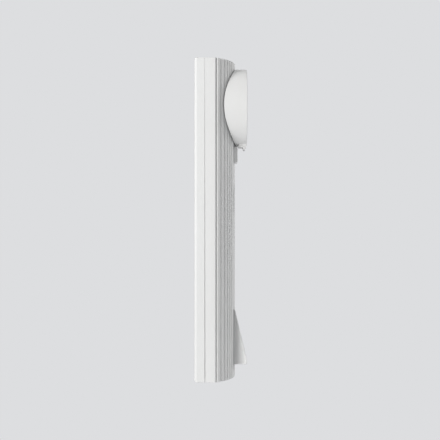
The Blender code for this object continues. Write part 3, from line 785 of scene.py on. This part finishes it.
seal = soft_prism("housing_seal_ring", rect(-40.2, 40.2, -139.7, 139.7, 1.0), 7.5, 11.5, "Y", RUBBER, 0.6, 4)
cut(seal, soft_prism("c", rect(-38.6, 38.6, -138.1, 138.1, 0.8), 6.0, 13.0, "Y", RUBBER, 0))
put(seal, "housing", "housing_seal")


def fastener(name, centre, axis, tip, neck, top, r_shank, r_head, body, node, direction=1, pitch=0.5):
    """Pan-head screw with a six-lobe socket and a rolled thread."""
    s = direction
    profile = [(0, tip), (r_shank * 0.55, tip)]
    at = tip + s * 0.35
    while (neck - at) * s > pitch:
        profile += [(r_shank - 0.22, at), (r_shank, at + s * pitch * 0.5)]
        at += s * pitch
    profile += [(r_shank - 0.15, at), (r_shank - 0.15, neck)]
    head = abs(top - neck)
    profile += [(r_head - 0.1, neck), (r_head, neck + s * head * 0.35), (r_head * 0.86, neck + s * head * 0.82), (r_head * 0.62, top), (0, top)]
    obj = turned(name, profile, centre, axis, 48, STEEL, angle=40)
    lobes = []
    for k in range(36):
        a = 2 * math.pi * k / 36
        r = r_head * (0.46 + 0.065 * math.cos(6 * a))
        lobes.append((centre[0] + r * math.cos(a), centre[1] + r * math.sin(a)))
    low, high = sorted((top - s * head * 0.6, top + s * 1.0))
    cut(obj, soft_prism("c", lobes, low, high, axis, STEEL, 0), angle=40)
    return put(obj, body, node)


fastener("cover_screw_body", (0.0, 14.5), "Z", -133.0, -141.3, -142.3, 1.4, 2.6, "housing", "cover_screw", -1)

# ---------------------------------------------------------------- camera hood
profile = [(HOOD_IN, 8.0), (HOOD_R, 8.0), (HOOD_R, HOOD_FRONT), (HOOD_IN + 0.9, HOOD_FRONT), (HOOD_IN, HOOD_FRONT - 0.9)]
hood = turned("camera_hood_shell", profile, (0.0, HOOD_Z), "Y", 160, HOOD_WHITE, radii=[0, 0, 0.6, 0.35, 0.35], fsteps=6)
cut(hood, soft_prism("c", smooth_outline(0.85, 2.0, 96), 50.0, HALF_HEIGHT + 6, "Z", WHITE, 0))
join(hood, turned("c", [(HOOD_IN, 14.0), (32.0, 14.0), (32.0, 42.0), (HOOD_IN, 42.0)], (0.0, HOOD_Z), "Y", 160, HOOD_WHITE, radii=[0.3, 0.3, 0, 0]))
strip = fillet([(39.4, HOOD_Z - 33.3), (39.4, 66.2), (46.5, 66.1), (46.5, HOOD_Z - 33.3)], [0.1, 0.4, 0.45, 0.1], 5)
tooth = fillet([(43.3, 66.9), (43.9, 63.7), (45.4, 63.7), (45.9, 66.9)], [0.1, 0.4, 0.4, 0.1], 5)
join(hood, soft_prism("c", strip, -11.6, 11.6, "X", HOOD_WHITE, 0.08, 3), soft_prism("c", tooth, -11.35, 11.35, "X", HOOD_WHITE, 0.08, 3))
flat_ends(hood, 1)


def hood_rule(centre, normal):
    radius = math.hypot(centre.x, centre.z - HOOD_Z)
    if abs(normal.y) > 0.02 or not HOOD_R - 0.05 < radius < HOOD_R + 0.01 or normal.x * centre.x + normal.z * (centre.z - HOOD_Z) < 0.9 * radius:
        return None
    return lambda spot: Vector((spot.x, 0.0, spot.z - HOOD_Z)).normalized()


ideal_normals(hood, hood_rule)
put(hood, "housing", "camera_hood", False)

gasket = turned("hood_joint_gasket", [(32.4, 12.0), (34.1, 12.0), (34.1, 48.0), (32.4, 48.0)], (0.0, HOOD_Z), "Y", 160, RUBBER)
cut(gasket, soft_prism("c", smooth_outline(0.15, 2.0, 96), 50.0, HALF_HEIGHT + 6, "Z", RUBBER, 0))
combine(gasket, soft_prism("c", smooth_outline(0.72, 2.0, 96), 50.0, HALF_HEIGHT + 6, "Z", RUBBER, 0), "INTERSECT")
put(gasket, "housing", "hood_gasket", False)

ring = turned("hood_snap_ring", [(32.3, 15.0), (36.0, 15.0), (36.0, 17.5), (32.3, 17.5)], (0.0, HOOD_Z), "Y", 128, BLACK, radii=0.4)
for k in range(12):
    a = 2 * math.pi * (k + 0.5) / 12
    cx, cz = 36.1 * math.cos(a), HOOD_Z + 36.1 * math.sin(a)
    cut(ring, cylinder("c", 1.1, 14.0, 19.0, (cx, cz), "Y", BLACK, 24, 0))
put(ring, "housing", "hood_lock_ring")

# bezel: black ring with fine steps that keep stray light off the window
bez = [(25.2, 44.9), (27.9, 44.9), (27.9, 34.0), (29.2, 34.0), (29.2, 46.15)]
inner_edge = [(28.1, 46.15), (27.9, 45.95), (27.3, 45.95), (27.1, 45.78), (26.5, 45.78), (26.3, 45.6), (25.7, 45.6), (25.2, 45.35)]
bezel = turned("window_bezel_ring", bez + inner_edge, (0.0, HOOD_Z), "Y", 144, BLACK, angle=24)
put(bezel, "housing", "window_bezel")

dome = []
dome_r = (27.5**2 + 1.9**2) / (2 * 1.9)
for k in range(25):
    r = 27.5 * (24 - k) / 24
    dome.append((r, 46.2 - dome_r + math.sqrt(dome_r**2 - r * r)))
inside = []
for k in range(13):
    r = 27.2 * k / 12
    inside.append((r, 44.0 - dome_r + math.sqrt(dome_r**2 - r * r)))
camera_window = turned("camera_window_dome", [(27.5, 42.5)] + dome + inside[:-1] + [(27.2, 42.4)], (0.0, HOOD_Z), "Y", 128, SMOKE)
put(camera_window, "housing", "camera_window")

# ---------------------------------------------------------------- inside the hood
base = turned("camera_base_plate", [(0, 6.5), (26.0, 6.5), (26.0, 8.5), (22.5, 8.5), (22.0, 8.1), (6.0, 8.1), (5.6, 8.5), (0, 8.5)], (0.0, HOOD_Z), "Y", 96, BLACK, radii=0.15)
for side in (-1, 1):
    low, high = sorted((HOOD_Z + side * 18.0, HOOD_Z + side * 21.0))
    ear = fillet([(-5.5, 7.0), (5.5, 7.0), (4.0, 12.0), (4.0, 22.0), (2.5, 25.5), (-2.5, 25.5), (-4.0, 22.0), (-4.0, 12.0)], [0, 0, 1.5, 2.0, 1.6, 1.6, 2.0, 1.5], 4)
    join(base, soft_prism("c", ear, low, high, "Z", BLACK, 0.3))
    cut(base, cylinder("c", 1.75, low - 1, high + 1, (0.0, GIMBAL), "Z", BLACK, 36, 0))
for sx, sz in BASE_SCREWS:
    cut(base, cylinder("c", 1.6, 5.0, 12.0, (sx, sz), "Y", BLACK, 32, 0))
put(base, "housing", "camera_base")
for label, (sx, sz) in zip(("left", "right"), BASE_SCREWS):
    fastener("base_screw_" + label, (sx, sz), "Y", 3.3, 8.8, 10.4, 1.3, 2.6, "housing", "camera_base_screw_" + label)

gim = soft_prism("gimbal_ring_frame", rect(-17.0, 17.0, HOOD_Z - 17.0, HOOD_Z + 17.0, 3.2, 7), 19.0, 25.0, "Y", BLACK, 0.5)
cut(gim, soft_prism("c", rect(-14.0, 14.0, HOOD_Z - 14.0, HOOD_Z + 14.0, 1.6, 7), 17.0, 27.0, "Y", BLACK, 0))
for side in (-1, 1):
    low, high = sorted((HOOD_Z + side * 16.0, HOOD_Z + side * 20.6))
    join(gim, cylinder("c", 1.5, low, high, (0.0, GIMBAL), "Z", BLACK, 32, 0.25))
    low, high = sorted((side * 12.0, side * 18.0))
    cut(gim, cylinder("c", 1.75, low, high, (GIMBAL, HOOD_Z), "X", BLACK, 32, 0))
put(gim, "camera_pan_ring", "camera_gimbal_ring")

module = soft_prism("camera_module_case", rect(-11.0, 11.0, HOOD_Z - 11.0, HOOD_Z + 11.0, 2.2, 6), 14.0, 30.0, "Y", MATT_BLACK, 0.6)
join(module, cylinder("c", 1.5, -16.4, 16.4, (GIMBAL, HOOD_Z), "X", MATT_BLACK, 32, 0.3))
for k in range(3):
    cut(module, soft_block("c", (-12.0, 12.0), (16.2 + 1.6 * k, 17.0 + 1.6 * k), (HOOD_Z + 10.4, HOOD_Z + 12.0), MATT_BLACK, 0))
    cut(module, soft_block("c", (-12.0, 12.0), (16.2 + 1.6 * k, 17.0 + 1.6 * k), (HOOD_Z - 12.0, HOOD_Z - 10.4), MATT_BLACK, 0))
put(module, "camera_head", "camera_module")
barrel = [(0, 30.3), (7.5, 30.3), (7.5, 33.8), (7.1, 34.2)]
for k in range(5):
    d = 34.5 + 0.6 * k
    barrel += [(7.1, d), (6.85, d + 0.12), (6.85, d + 0.3), (7.1, d + 0.42)]
barrel += [(7.1, 38.0), (6.9, 38.2), (5.9, 38.2), (5.6, 37.9), (5.6, 36.2), (0, 36.2)]
put(turned("lens_barrel_body", barrel, (0.0, HOOD_Z), "Y", 72, MATT_BLACK, angle=24), "camera_head", "lens_barrel")
lens = [(0, 36.4), (5.3, 36.4), (5.3, 37.2)] + [(5.3 * math.cos(math.radians(9 * k)), 37.2 + 1.0 * math.sin(math.radians(9 * k))) for k in range(1, 10)] + [(0, 38.2)]
put(turned("lens_front_glass", lens, (0.0, HOOD_Z), "Y", 72, LENS_PAINTED_GLINT), "camera_head", "lens_element")


def pads(name, places, size, depth, mat=COPPER_TIN, body=None):
    """Small tinned parts on a board, one mesh."""
    first = None
    others = []
    for x, z, w, h, t, m in places:
        obj = soft_block("p", (x - w / 2, x + w / 2), (depth, depth + t), (z - h / 2, z + h / 2), m, min(0.12, t * 0.3), 0.1, 2)
        if first is None:
            first = obj
            first.name = name
        else:
            others.append(obj)
    return merge(first, *others) if others else first


sensor = soft_prism("sensor_board_panel", rect(-7.6, 7.6, HOOD_Z - 7.6, HOOD_Z + 7.6, 1.2, 5), 12.1, 13.7, "Y", BOARD, 0.12)
put(sensor, "camera_head", "sensor_board")

led_ring = turned("ir_board_ring", [(15.2, 34.5), (27.4, 34.5), (27.4, 36.1), (15.2, 36.1)], (0.0, HOOD_Z), "Y", 128, BOARD, radii=0.12)
put(led_ring, "housing", "ir_led_board")
for k in range(6):
    a = math.radians(60 * k)
    c = (21.3 * math.cos(a), HOOD_Z + 21.3 * math.sin(a))
    prof = [(0, 36.4), (2.7, 36.4), (2.7, 37.2), (2.4, 37.35), (2.4, 39.2)] + [(2.4 * math.cos(math.radians(10 * j)), 39.2 + 2.4 * math.sin(math.radians(10 * j))) for j in range(1, 9)] + [(0, 41.6)]
    put(turned("ir_lamp_%d" % (k + 1), prof, c, "Y", 48, LED_CLEAR), "housing", "ir_led_%d" % (k + 1))

# ---------------------------------------------------------------- light button
cap_loop = rect(-12.0, 12.0, 52.2, 66.4, 1.1, 6)
loops = [[point("Y", u, v, 30.6) for u, v in cap_loop]]
for k in range(7):
    a = math.pi / 2 * k / 6
    loops.append([point("Y", u, v, 37.8 + 0.7 * math.sin(a)) for u, v in offset_loop(cap_loop, 0.7 * (1 - math.cos(a)))])
for inset, rise in ((2.0, 0.04), (4.0, 0.075), (6.2, 0.1)):
    loops.append([point("Y", u, v, 38.5 + rise) for u, v in offset_loop(rect(-12.0, 12.0, 52.2, 66.4, 1.1, 6), inset)] if inset < 0 else [point("Y", u * (1 - inset / 12.0), 59.3 + (v - 59.3) * (1 - inset / 7.1), 38.5 + rise) for u, v in cap_loop])
button = skin("light_button_cap", loops, KEY_WHITE, 30)
join(button, soft_prism("c", rect(-13.4, 13.4, 50.9, 67.7, 1.2, 5), 29.6, 31.0, "Y", KEY_WHITE, 0.2))
cut(button, soft_prism("c", rect(-10.4, 10.4, 53.8, 64.8, 0.8), 28.0, 37.0, "Y", KEY_WHITE, 0, r_high=0.5))
join(button, cylinder("c", 2.0, 30.2, 37.3, (0.0, 59.3), "Y", KEY_WHITE, 40, 0.25))
for side in (-1, 1):
    join(button, soft_block("c", (side * 2.0 - (0 if side > 0 else 8.6), side * 2.0 + (8.6 if side > 0 else 0)), (33.0, 37.3), (58.9, 59.7), KEY_WHITE, 0.1, 0.1))
put(button, "light_button", "light_button")


def gull(x, z, w, h, d0, rows, pitch, t=0.7, out=0.9):
    """Gull-wing legs down both sides of a package."""
    places = []
    for k in range(rows):
        off = (k - (rows - 1) / 2) * pitch
        for side in (-1, 1):
            places.append((x + side * (w / 2 + out / 2 - 0.1), z + off, out, pitch * 0.45, t * 0.35, COPPER_TIN))
    return places


lb = soft_prism("light_button_panel", rect(-13.0, 13.0, 52.0, 66.6, 1.0), 22.0, 23.6, "Y", BOARD, 0.12)
smd = pads("light_button_smd", [(-8.0, 62.0, 2.0, 1.2, 0.55, CHIP), (-8.0, 59.0, 2.0, 1.2, 0.55, NYLON), (8.0, 62.0, 3.0, 2.6, 1.0, CHIP), (9.0, 56.0, 1.6, 0.9, 0.45, NYLON), (-9.5, 55.5, 3.2, 1.7, 0.6, CHIP)], 1, 23.6)
merge(lb, smd)
put(lb, "housing", "light_button_board")


def tact(name, cz, d0, node):
    """A small push switch: moulded body, pressed steel lid with corner studs, round plunger."""
    obj = soft_block(name, (-3.1, 3.1), (d0, d0 + 2.9), (cz - 3.1, cz + 3.1), CHIP, 0.15, 0.3)
    lid = soft_block("c", (-3.0, 3.0), (d0 + 2.95, d0 + 3.45), (cz - 3.0, cz + 3.0), STEEL, 0.1, 0.25)
    parts = [lid, turned("c", [(0, d0 + 3.4), (1.75, d0 + 3.4), (1.75, d0 + 5.1), (0, d0 + 5.1)], (0.0, cz), "Y", 40, CHIP, radii=0.15)]
    for sx in (-1, 1):
        for sz in (-1, 1):
            parts.append(turned("c", [(0, d0 + 3.4), (0.45, d0 + 3.4), (0.4, d0 + 3.6), (0, d0 + 3.65)], (sx * 2.3, cz + sz * 2.3), "Y", 16, STEEL))
            low, high = sorted((sx * 3.05, sx * 3.9))
            parts.append(soft_block("c", (low, high), (d0 + 0.02, d0 + 0.3), (cz + sz * 2.2 - 0.35, cz + sz * 2.2 + 0.35), COPPER_TIN, 0.06, 0.08, 2))
    merge(obj, *parts)
    return put(obj, "housing", node)


tact("light_button_tact", 59.3, 23.9, "light_button_switch")

# ---------------------------------------------------------------- loudspeaker
put(turned("speaker_foam_ring", [(17.4, 28.6), (19.2, 28.6), (19.2, 30.2), (17.4, 30.2)], (0.0, SPEAKER_Z), "Y", 96, FOAM, radii=0.35), "housing", "speaker_gasket")
basket = turned("speaker_basket_pressing", [(22.0, 28.3), (22.0, 27.2), (19.4, 27.2), (12.9, 18.6), (0, 18.6), (0, 19.8), (12.1, 19.8), (18.2, 28.3)], (0.0, SPEAKER_Z), "Y", 128, STEEL, radii=[0.3, 0.3, 0.8, 0.8, 0, 0, 0.6, 0.4])
for k in range(6):
    a = math.radians(60 * k + 30)
    hole = fillet([(13.6 * math.cos(a - 0.28), SPEAKER_Z + 13.6 * math.sin(a - 0.28)), (17.4 * math.cos(a - 0.26), SPEAKER_Z + 17.4 * math.sin(a - 0.26)), (17.9 * math.cos(a), SPEAKER_Z + 17.9 * math.sin(a)), (17.4 * math.cos(a + 0.26), SPEAKER_Z + 17.4 * math.sin(a + 0.26)), (13.6 * math.cos(a + 0.28), SPEAKER_Z + 13.6 * math.sin(a + 0.28)), (13.3 * math.cos(a), SPEAKER_Z + 13.3 * math.sin(a))], 0.8, 4)
    cut(basket, soft_prism("c", hole, 18.0, 27.0, "Y", STEEL, 0))
put(basket, "housing", "speaker_basket")
cone = [(0, 21.4), (6.3, 21.4), (14.2, 25.9), (14.9, 26.5), (15.6, 26.3), (16.9, 27.2), (16.9, 27.9), (16.4, 27.9), (15.6, 26.9), (15.0, 27.1), (14.0, 26.4), (6.6, 22.2)]
cone += [(6.2 * math.cos(math.radians(10 * k)), 22.3 + 2.2 * math.sin(math.radians(10 * k))) for k in range(1, 9)] + [(0, 24.5)]
put(turned("speaker_cone_paper", cone, (0.0, SPEAKER_Z), "Y", 96, CONE, angle=40), "housing", "speaker_cone")
put(turned("speaker_magnet_pot", [(0, 14.2), (12.0, 14.2), (12.0, 17.2), (11.4, 17.5), (11.4, 18.3), (0, 18.3)], (0.0, SPEAKER_Z), "Y", 96, FERRITE, radii=0.25), "housing", "speaker_magnet")

# ---------------------------------------------------------------- call key
length = math.hypot(KEY_LOW[0] - KEY_TOP[0], KEY_LOW[1] - KEY_TOP[1])
ALONG = ((KEY_LOW[0] - KEY_TOP[0]) / length, (KEY_LOW[1] - KEY_TOP[1]) / length)
OUT = (-ALONG[1], ALONG[0])


def on_key(s, deep):
    return (KEY_TOP[0] + ALONG[0] * s - OUT[0] * deep, KEY_TOP[1] + ALONG[1] * s - OUT[1] * deep)


def slab(name, s0, s1, d0, d1, x0, x1, mat, corner, r, axis_steps=6):
    """A plate parallel to the slanted front: a rounded rectangle in (x, s), thick from d0 to d1 below the front."""
    loop = rect(x0, x1, s0, s1, corner, axis_steps)
    loops = []
    for inset, into in quarter(r, 3):
        loops.append([point("X", *on_key(v, d0 + into), u) for u, v in offset_loop(loop, inset)])
    for inset, into in reversed(quarter(r, 3)):
        loops.append([point("X", *on_key(v, d1 - into), u) for u, v in offset_loop(loop, inset)])
    return skin(name, loops, mat)


body = fillet([KEY_TOP, (47.2, -128.4), (46.75, -130.7), (29.5, -130.7), (29.5, -81.4)], [0.35, 1.2, 1.3, 0.5, 0.6], 6)
key = soft_prism("call_key_shell", body, -11.6, 11.6, "X", KEY_WHITE, 0.3, 3)
plate = fillet([KEY_TOP, (47.2, -128.4), (46.75, -130.7), (44.6, -130.7), (44.75, -129.45), on_key(47.0, 1.15), on_key(0.3, 1.15)], [0.32, 1.2, 1.3, 0.3, 0.3, 0.5, 0.32], 5)
join(key, soft_prism("c", plate, -12.6, 12.6, "X", KEY_WHITE, 0.28, 4))
cut(key, soft_prism("c", [(27.0, -83.0), (32.2, -83.0), (43.2, -129.2), (27.0, -129.2)], -10.0, 10.0, "X", KEY_WHITE, 0))
cut(key, slab("c", 1.9, 45.1, -1.0, 3.2, -10.7, 10.7, KEY_WHITE, 0.8, 0.0001))
cut(key, slab("c", 5.0, 36.0, 3.0, 5.2, -8.5, 8.5, KEY_WHITE, 1.0, 0.0001))
join(key, soft_block("c", (-1.5, 1.5), (29.1, 41.6), (-122.5, -119.5), KEY_WHITE, 0.25, 0.4))
cut(key, cylinder("c", 1.22, -14.0, 14.0, KEY_PIVOT, "X", KEY_WHITE, 36, 0))
put(key, "call_key", "call_key")
put(slab("name_plate_pane", 2.1, 44.9, 0.0, 1.0, -10.5, 10.5, CLEAR, 0.7, 0.18), "call_key", "name_plate_window")
put(slab("name_card_insert", 2.6, 44.4, 1.3, 1.6, -10.2, 10.2, CARD, 0.3, 0.05), "call_key", "name_card")
put(slab("name_plate_light_guide", 2.2, 44.8, 1.9, 2.9, -10.4, 10.4, OPAL, 0.6, 0.15), "call_key", "name_plate_diffuser")
pin = turned("call_key_hinge_pin", [(0, -15.4), (0.7, -15.4), (1.0, -15.1), (1.0, 15.1), (0.7, 15.4), (0, 15.4)], KEY_PIVOT, "X", 40, STEEL)
put(pin, "housing", "call_key_pin")

kb = soft_prism("call_key_panel", rect(-13.0, 13.0, -127.0, -88.0, 1.0), 20.0, 21.6, "Y", BOARD, 0.12)
merge(kb, pads("call_key_smd", [(-8.5, -95.0, 2.0, 1.2, 0.5, CHIP), (-8.5, -92.5, 2.0, 1.2, 0.5, NYLON), (8.0, -94.0, 3.6, 3.6, 0.9, CHIP), (-9.0, -112.0, 1.6, 0.9, 0.45, NYLON), (9.0, -112.0, 1.6, 0.9, 0.45, NYLON), (0.0, -91.0, 7.0, 2.4, 2.2, NYLON)], 1, 21.6))
put(kb, "housing", "call_key_board")
tact("call_key_tact", -121.0, 21.9, "call_key_switch")
for label, x in (("left", -7.0), ("right", 7.0)):
    lamp = soft_block("key_lamp_" + label, (x - 1.5, x + 1.5), (21.9, 23.8), (-104.0, -100.5), OPAL, 0.15, 0.3)
    cut(lamp, turned("c", [(0, 22.9), (0.9, 22.9), (1.25, 24.5), (0, 24.5)], (x, -102.25), "Y", 40, OPAL))
    merge(lamp, turned("c", [(0, 22.95), (0.85, 22.95), (1.05, 23.6), (0, 23.65)], (x, -102.25), "Y", 40, LED_WHITE))
    put(lamp, "housing", "call_key_led_" + label)

# ---------------------------------------------------------------- microphone
put(turned("microphone_boot_sleeve", [(3.1, 26.0), (3.9, 26.0), (3.9, 33.0), (1.0, 33.0), (1.0, 32.0), (3.1, 32.0)], (0.0, -135.6), "Y", 48, RUBBER, radii=0.2), "housing", "microphone_boot")
mic = turned("microphone_capsule", [(0, 26.4), (2.6, 26.4), (2.8, 26.7), (2.8, 31.3), (2.6, 31.6), (0.6, 31.6), (0.5, 31.2), (0, 31.2)], (0.0, -135.6), "Y", 48, ALUMINIUM)
put(mic, "housing", "microphone")

# ---------------------------------------------------------------- main board and what is on it
mb = soft_prism("main_board_panel", rect(-34.0, 34.0, -94.0, 58.0, 2.0, 5), 10.0, 11.6, "Y", BOARD, 0.12)
cut(mb, soft_prism("c", rect(-14.5, 14.5, CABLE_Z - 11, CABLE_Z + 11, 1.5, 5), 8.0, 14.0, "Y", BOARD, 0))
for sx, sz in BOARD_SCREWS:
    cut(mb, cylinder("c", 1.6, 8.0, 14.0, (sx, sz), "Y", BOARD, 32, 0))
smd = []
for k in range(42):
    x, z = random.uniform(-31, 31), random.uniform(-62, 44)
    if abs(x) < 17 and abs(z - CABLE_Z) < 13 or math.hypot(x, z - SPEAKER_Z) < 14 or (-31 < x < -13 and -24 < z < -6) or math.hypot(x - 24, z + 22) < 7.5 or any(math.hypot(x - a, z - b) < 6 for a, b in BOARD_SCREWS):
        continue
    if any(abs(x - s[0]) < 3.2 and abs(z - s[1]) < 2.4 for s in smd):
        continue
    kind = random.choice([(2.0, 1.2, 0.5, CHIP), (1.6, 0.8, 0.45, NYLON), (2.6, 1.6, 0.6, NYLON), (2.8, 1.6, 1.0, CHIP)])
    smd.append((x, z, *kind))
for x, z, w, h in ((22.0, 8.0, 7.0, 5.0), (-24.0, 34.0, 5.0, 6.2), (24.0, -52.0, 8.0, 8.0)):
    smd = [s for s in smd if abs(s[0] - x) > w / 2 + 2.4 or abs(s[1] - z) > h / 2 + 1.6]
    smd.append((x, z, w, h, 1.5, CHIP))
    smd += gull(x, z, w, h, 11.6, 4, h / 4.5)
merge(mb, pads("main_board_smd", smd, 1, 11.6))
put(mb, "housing", "main_board")
for k, (sx, sz) in enumerate(BOARD_SCREWS):
    fastener("board_screw_%d" % (k + 1), (sx, sz), "Y", 4.0, 11.9, 13.6, 1.3, 2.6, "housing", "main_board_screw_%d" % (k + 1))

term = soft_block("terminal_block_body", (-16.0, 16.0), (11.9, 20.9), (-78.0, -66.0), TERMINAL, 0.35, 0.6)
screws = []
for k in range(6):
    x = -13.0 + 5.2 * k
    cut(term, cylinder("c", 1.7, 18.0, 23.0, (x, -70.5), "Y", TERMINAL, 32, 0))
    cut(term, soft_block("c", (x - 1.6, x + 1.6), (13.2, 16.6), (-80.0, -74.0), TERMINAL, 0.0, 0.4))
    head = turned("c", [(0, 18.1), (1.45, 18.1), (1.45, 19.2), (1.2, 19.5), (0, 19.5)], (x, -70.5), "Y", 32, STEEL)
    cut(head, soft_block("c", (x - 2.0, x + 2.0), (19.0, 21.0), (-70.75, -70.25), STEEL, 0))
    screws += [head, soft_block("c", (x - 1.4, x + 1.4), (13.4, 16.4), (-75.4, -74.3), STEEL, 0.15, 0.3)]
merge(term, *screws)
put(term, "housing", "terminal_block")

chip = soft_block("controller_package", (-29.0, -15.0), (11.9, 13.3), (-22.0, -8.0), CHIP, 0.18, 0.4)
cut(chip, turned("c", [(0, 13.15), (0.7, 13.15), (0.8, 14.0), (0, 14.0)], (-27.2, -9.8), "Y", 32, CHIP))
legs = []
for k in range(14):
    off = (k - 6.5) * 0.85
    for a, b, w, h in ((-22.0 + off, -22.45, 0.36, 0.9), (-22.0 + off, -7.55, 0.36, 0.9), (-29.45, -15.0 + off, 0.9, 0.36), (-14.55, -15.0 + off, 0.9, 0.36)):
        legs.append((a, b, w, h, 0.22, COPPER_TIN))
merge(chip, pads("controller_legs", legs, 1, 11.95))
put(chip, "housing", "controller_chip")

cap = turned("filter_capacitor_sleeve", [(0, 11.9), (4.6, 11.9), (5.0, 12.4), (5.0, 13.6), (4.7, 14.0), (4.7, 14.3), (5.0, 14.7), (5.0, 23.3), (4.6, 23.9), (3.9, 23.9), (3.8, 23.7), (0, 23.7)], (24.0, -22.0), "Y", 72, CAN, angle=24)
lid = turned("c", [(0, 23.55), (3.75, 23.55), (3.75, 23.85), (0, 23.85)], (24.0, -22.0), "Y", 64, ALUMINIUM, radii=0.05)
for a in (0, 1):
    cut(lid, soft_block("c", (24.0 - (3.0 if a else 0.15), 24.0 + (3.0 if a else 0.15)), (23.75, 25.0), (-22.0 - (0.15 if a else 3.0), -22.0 + (0.15 if a else 3.0)), ALUMINIUM, 0))
merge(cap, lid)
put(cap, "housing", "filter_capacitor")

conn = soft_block("camera_connector_shell", (-7.0, 7.0), (11.9, 17.5), (48.5, 54.5), NYLON, 0.25, 0.4)
cut(conn, soft_block("c", (-6.0, 6.0), (13.4, 19.0), (49.6, 53.4), NYLON, 0, 0.3))
for x in (-3.5, 3.5):
    cut(conn, soft_block("c", (x - 0.7, x + 0.7), (14.6, 19.0), (53.0, 56.0), NYLON, 0, 0.1))
merge(conn, pads("c", [(-4.8 + 1.6 * k, 51.5, 0.5, 0.5, 3.0, GOLD) for k in range(7)], 1, 13.5))
put(conn, "housing", "camera_connector")

# ================================================================ stage, lights, camera
floor_mat = Nodes("floor_paper", Specular_IOR_Level=0.2)
fine = floor_mat.noise(90.0, 4.0, 0.6)
floor_mat.colour(floor_mat.ramp(fine, "Fac", [(0.3, (0.76, 0.765, 0.775)), (0.7, (0.79, 0.795, 0.805))]))
floor_mat.rough(fine, "Fac", 0.8, 0.95)
bm = bmesh.new()
bmesh.ops.create_grid(bm, x_segments=8, y_segments=8, size=0.95)
for v in bm.verts:
    v.co.z = -0.46
floor = make("studio_floor", bm, floor_mat.mat)

world = bpy.data.worlds.new("studio_world")
bpy.context.scene.world = world
world.use_nodes = True
tree = world.node_tree
tree.nodes.clear()
out = tree.nodes.new("ShaderNodeOutputWorld")
seen = tree.nodes.new("ShaderNodeBackground")
seen.inputs["Color"].default_value = (0.723, 0.730, 0.745, 1)
seen.inputs["Strength"].default_value = 1.0
fill = tree.nodes.new("ShaderNodeBackground")
fill.inputs["Color"].default_value = (0.985, 0.99, 1.0, 1)
fill.inputs["Strength"].default_value = 0.30
switch = tree.nodes.new("ShaderNodeMixShader")
path = tree.nodes.new("ShaderNodeLightPath")
tree.links.new(path.outputs["Is Camera Ray"], switch.inputs["Fac"])
tree.links.new(fill.outputs[0], switch.inputs[1])
tree.links.new(seen.outputs[0], switch.inputs[2])
tree.links.new(switch.outputs[0], out.inputs["Surface"])


def lamp(name, place, target, size, power, colour=(1, 1, 1)):
    data = bpy.data.lights.new(name, "AREA")
    data.shape = "RECTANGLE"
    data.size, data.size_y = size
    data.energy = power
    data.color = colour
    obj = bpy.data.objects.new(name, data)
    obj.location = place
    obj.rotation_mode = "QUATERNION"
    obj.rotation_quaternion = (Vector(target) - Vector(place)).to_track_quat("-Z", "Y")
    bpy.context.scene.collection.objects.link(obj)
    return obj


def aimed(name, direction, distance, size, level, colour=(1, 1, 1)):
    """A soft light whose full effect on a facing white surface is level."""
    place = Vector(direction).normalized() * distance
    return lamp(name, place, (0.0, -0.02, 0.0), size, level * math.pi**2 * distance**2, colour)


aimed("key_softbox", (-0.82, 0.555, 0.20), 1.4, (0.34, 0.8), 0.725, (1.0, 0.997, 0.99))
aimed("front_softbox", (0.32, -0.92, 0.22), 1.6, (0.9, 0.9), 0.355, (0.995, 0.998, 1.0)).visible_glossy = False
aimed("window_softbox", (-0.1, -0.80, 0.62), 1.5, (0.5, 0.5), 0.16).visible_diffuse = False
aimed("top_softbox", (-0.1, 0.1, 1.2), 1.3, (0.8, 0.6), 0.10)
aimed("right_softbox", (0.95, -0.18, 0.35), 1.5, (0.7, 0.9), 0.34).visible_glossy = False

data = bpy.data.cameras.new("photo_camera")
data.sensor_width = 36.0
data.lens = 85.25
data.clip_start, data.clip_end = 0.05, 20.0
camera = bpy.data.objects.new("photo_camera", data)
camera.location = (-0.955, -0.0226, 0.0)
camera.rotation_mode = "QUATERNION"
camera.rotation_quaternion = Vector((1.0, 0.0, 0.0)).to_track_quat("-Z", "Y")
bpy.context.scene.collection.objects.link(camera)
bpy.context.scene.camera = camera
bpy.context.scene.view_settings.view_transform = "Standard"
bpy.context.scene.view_settings.look = "None"
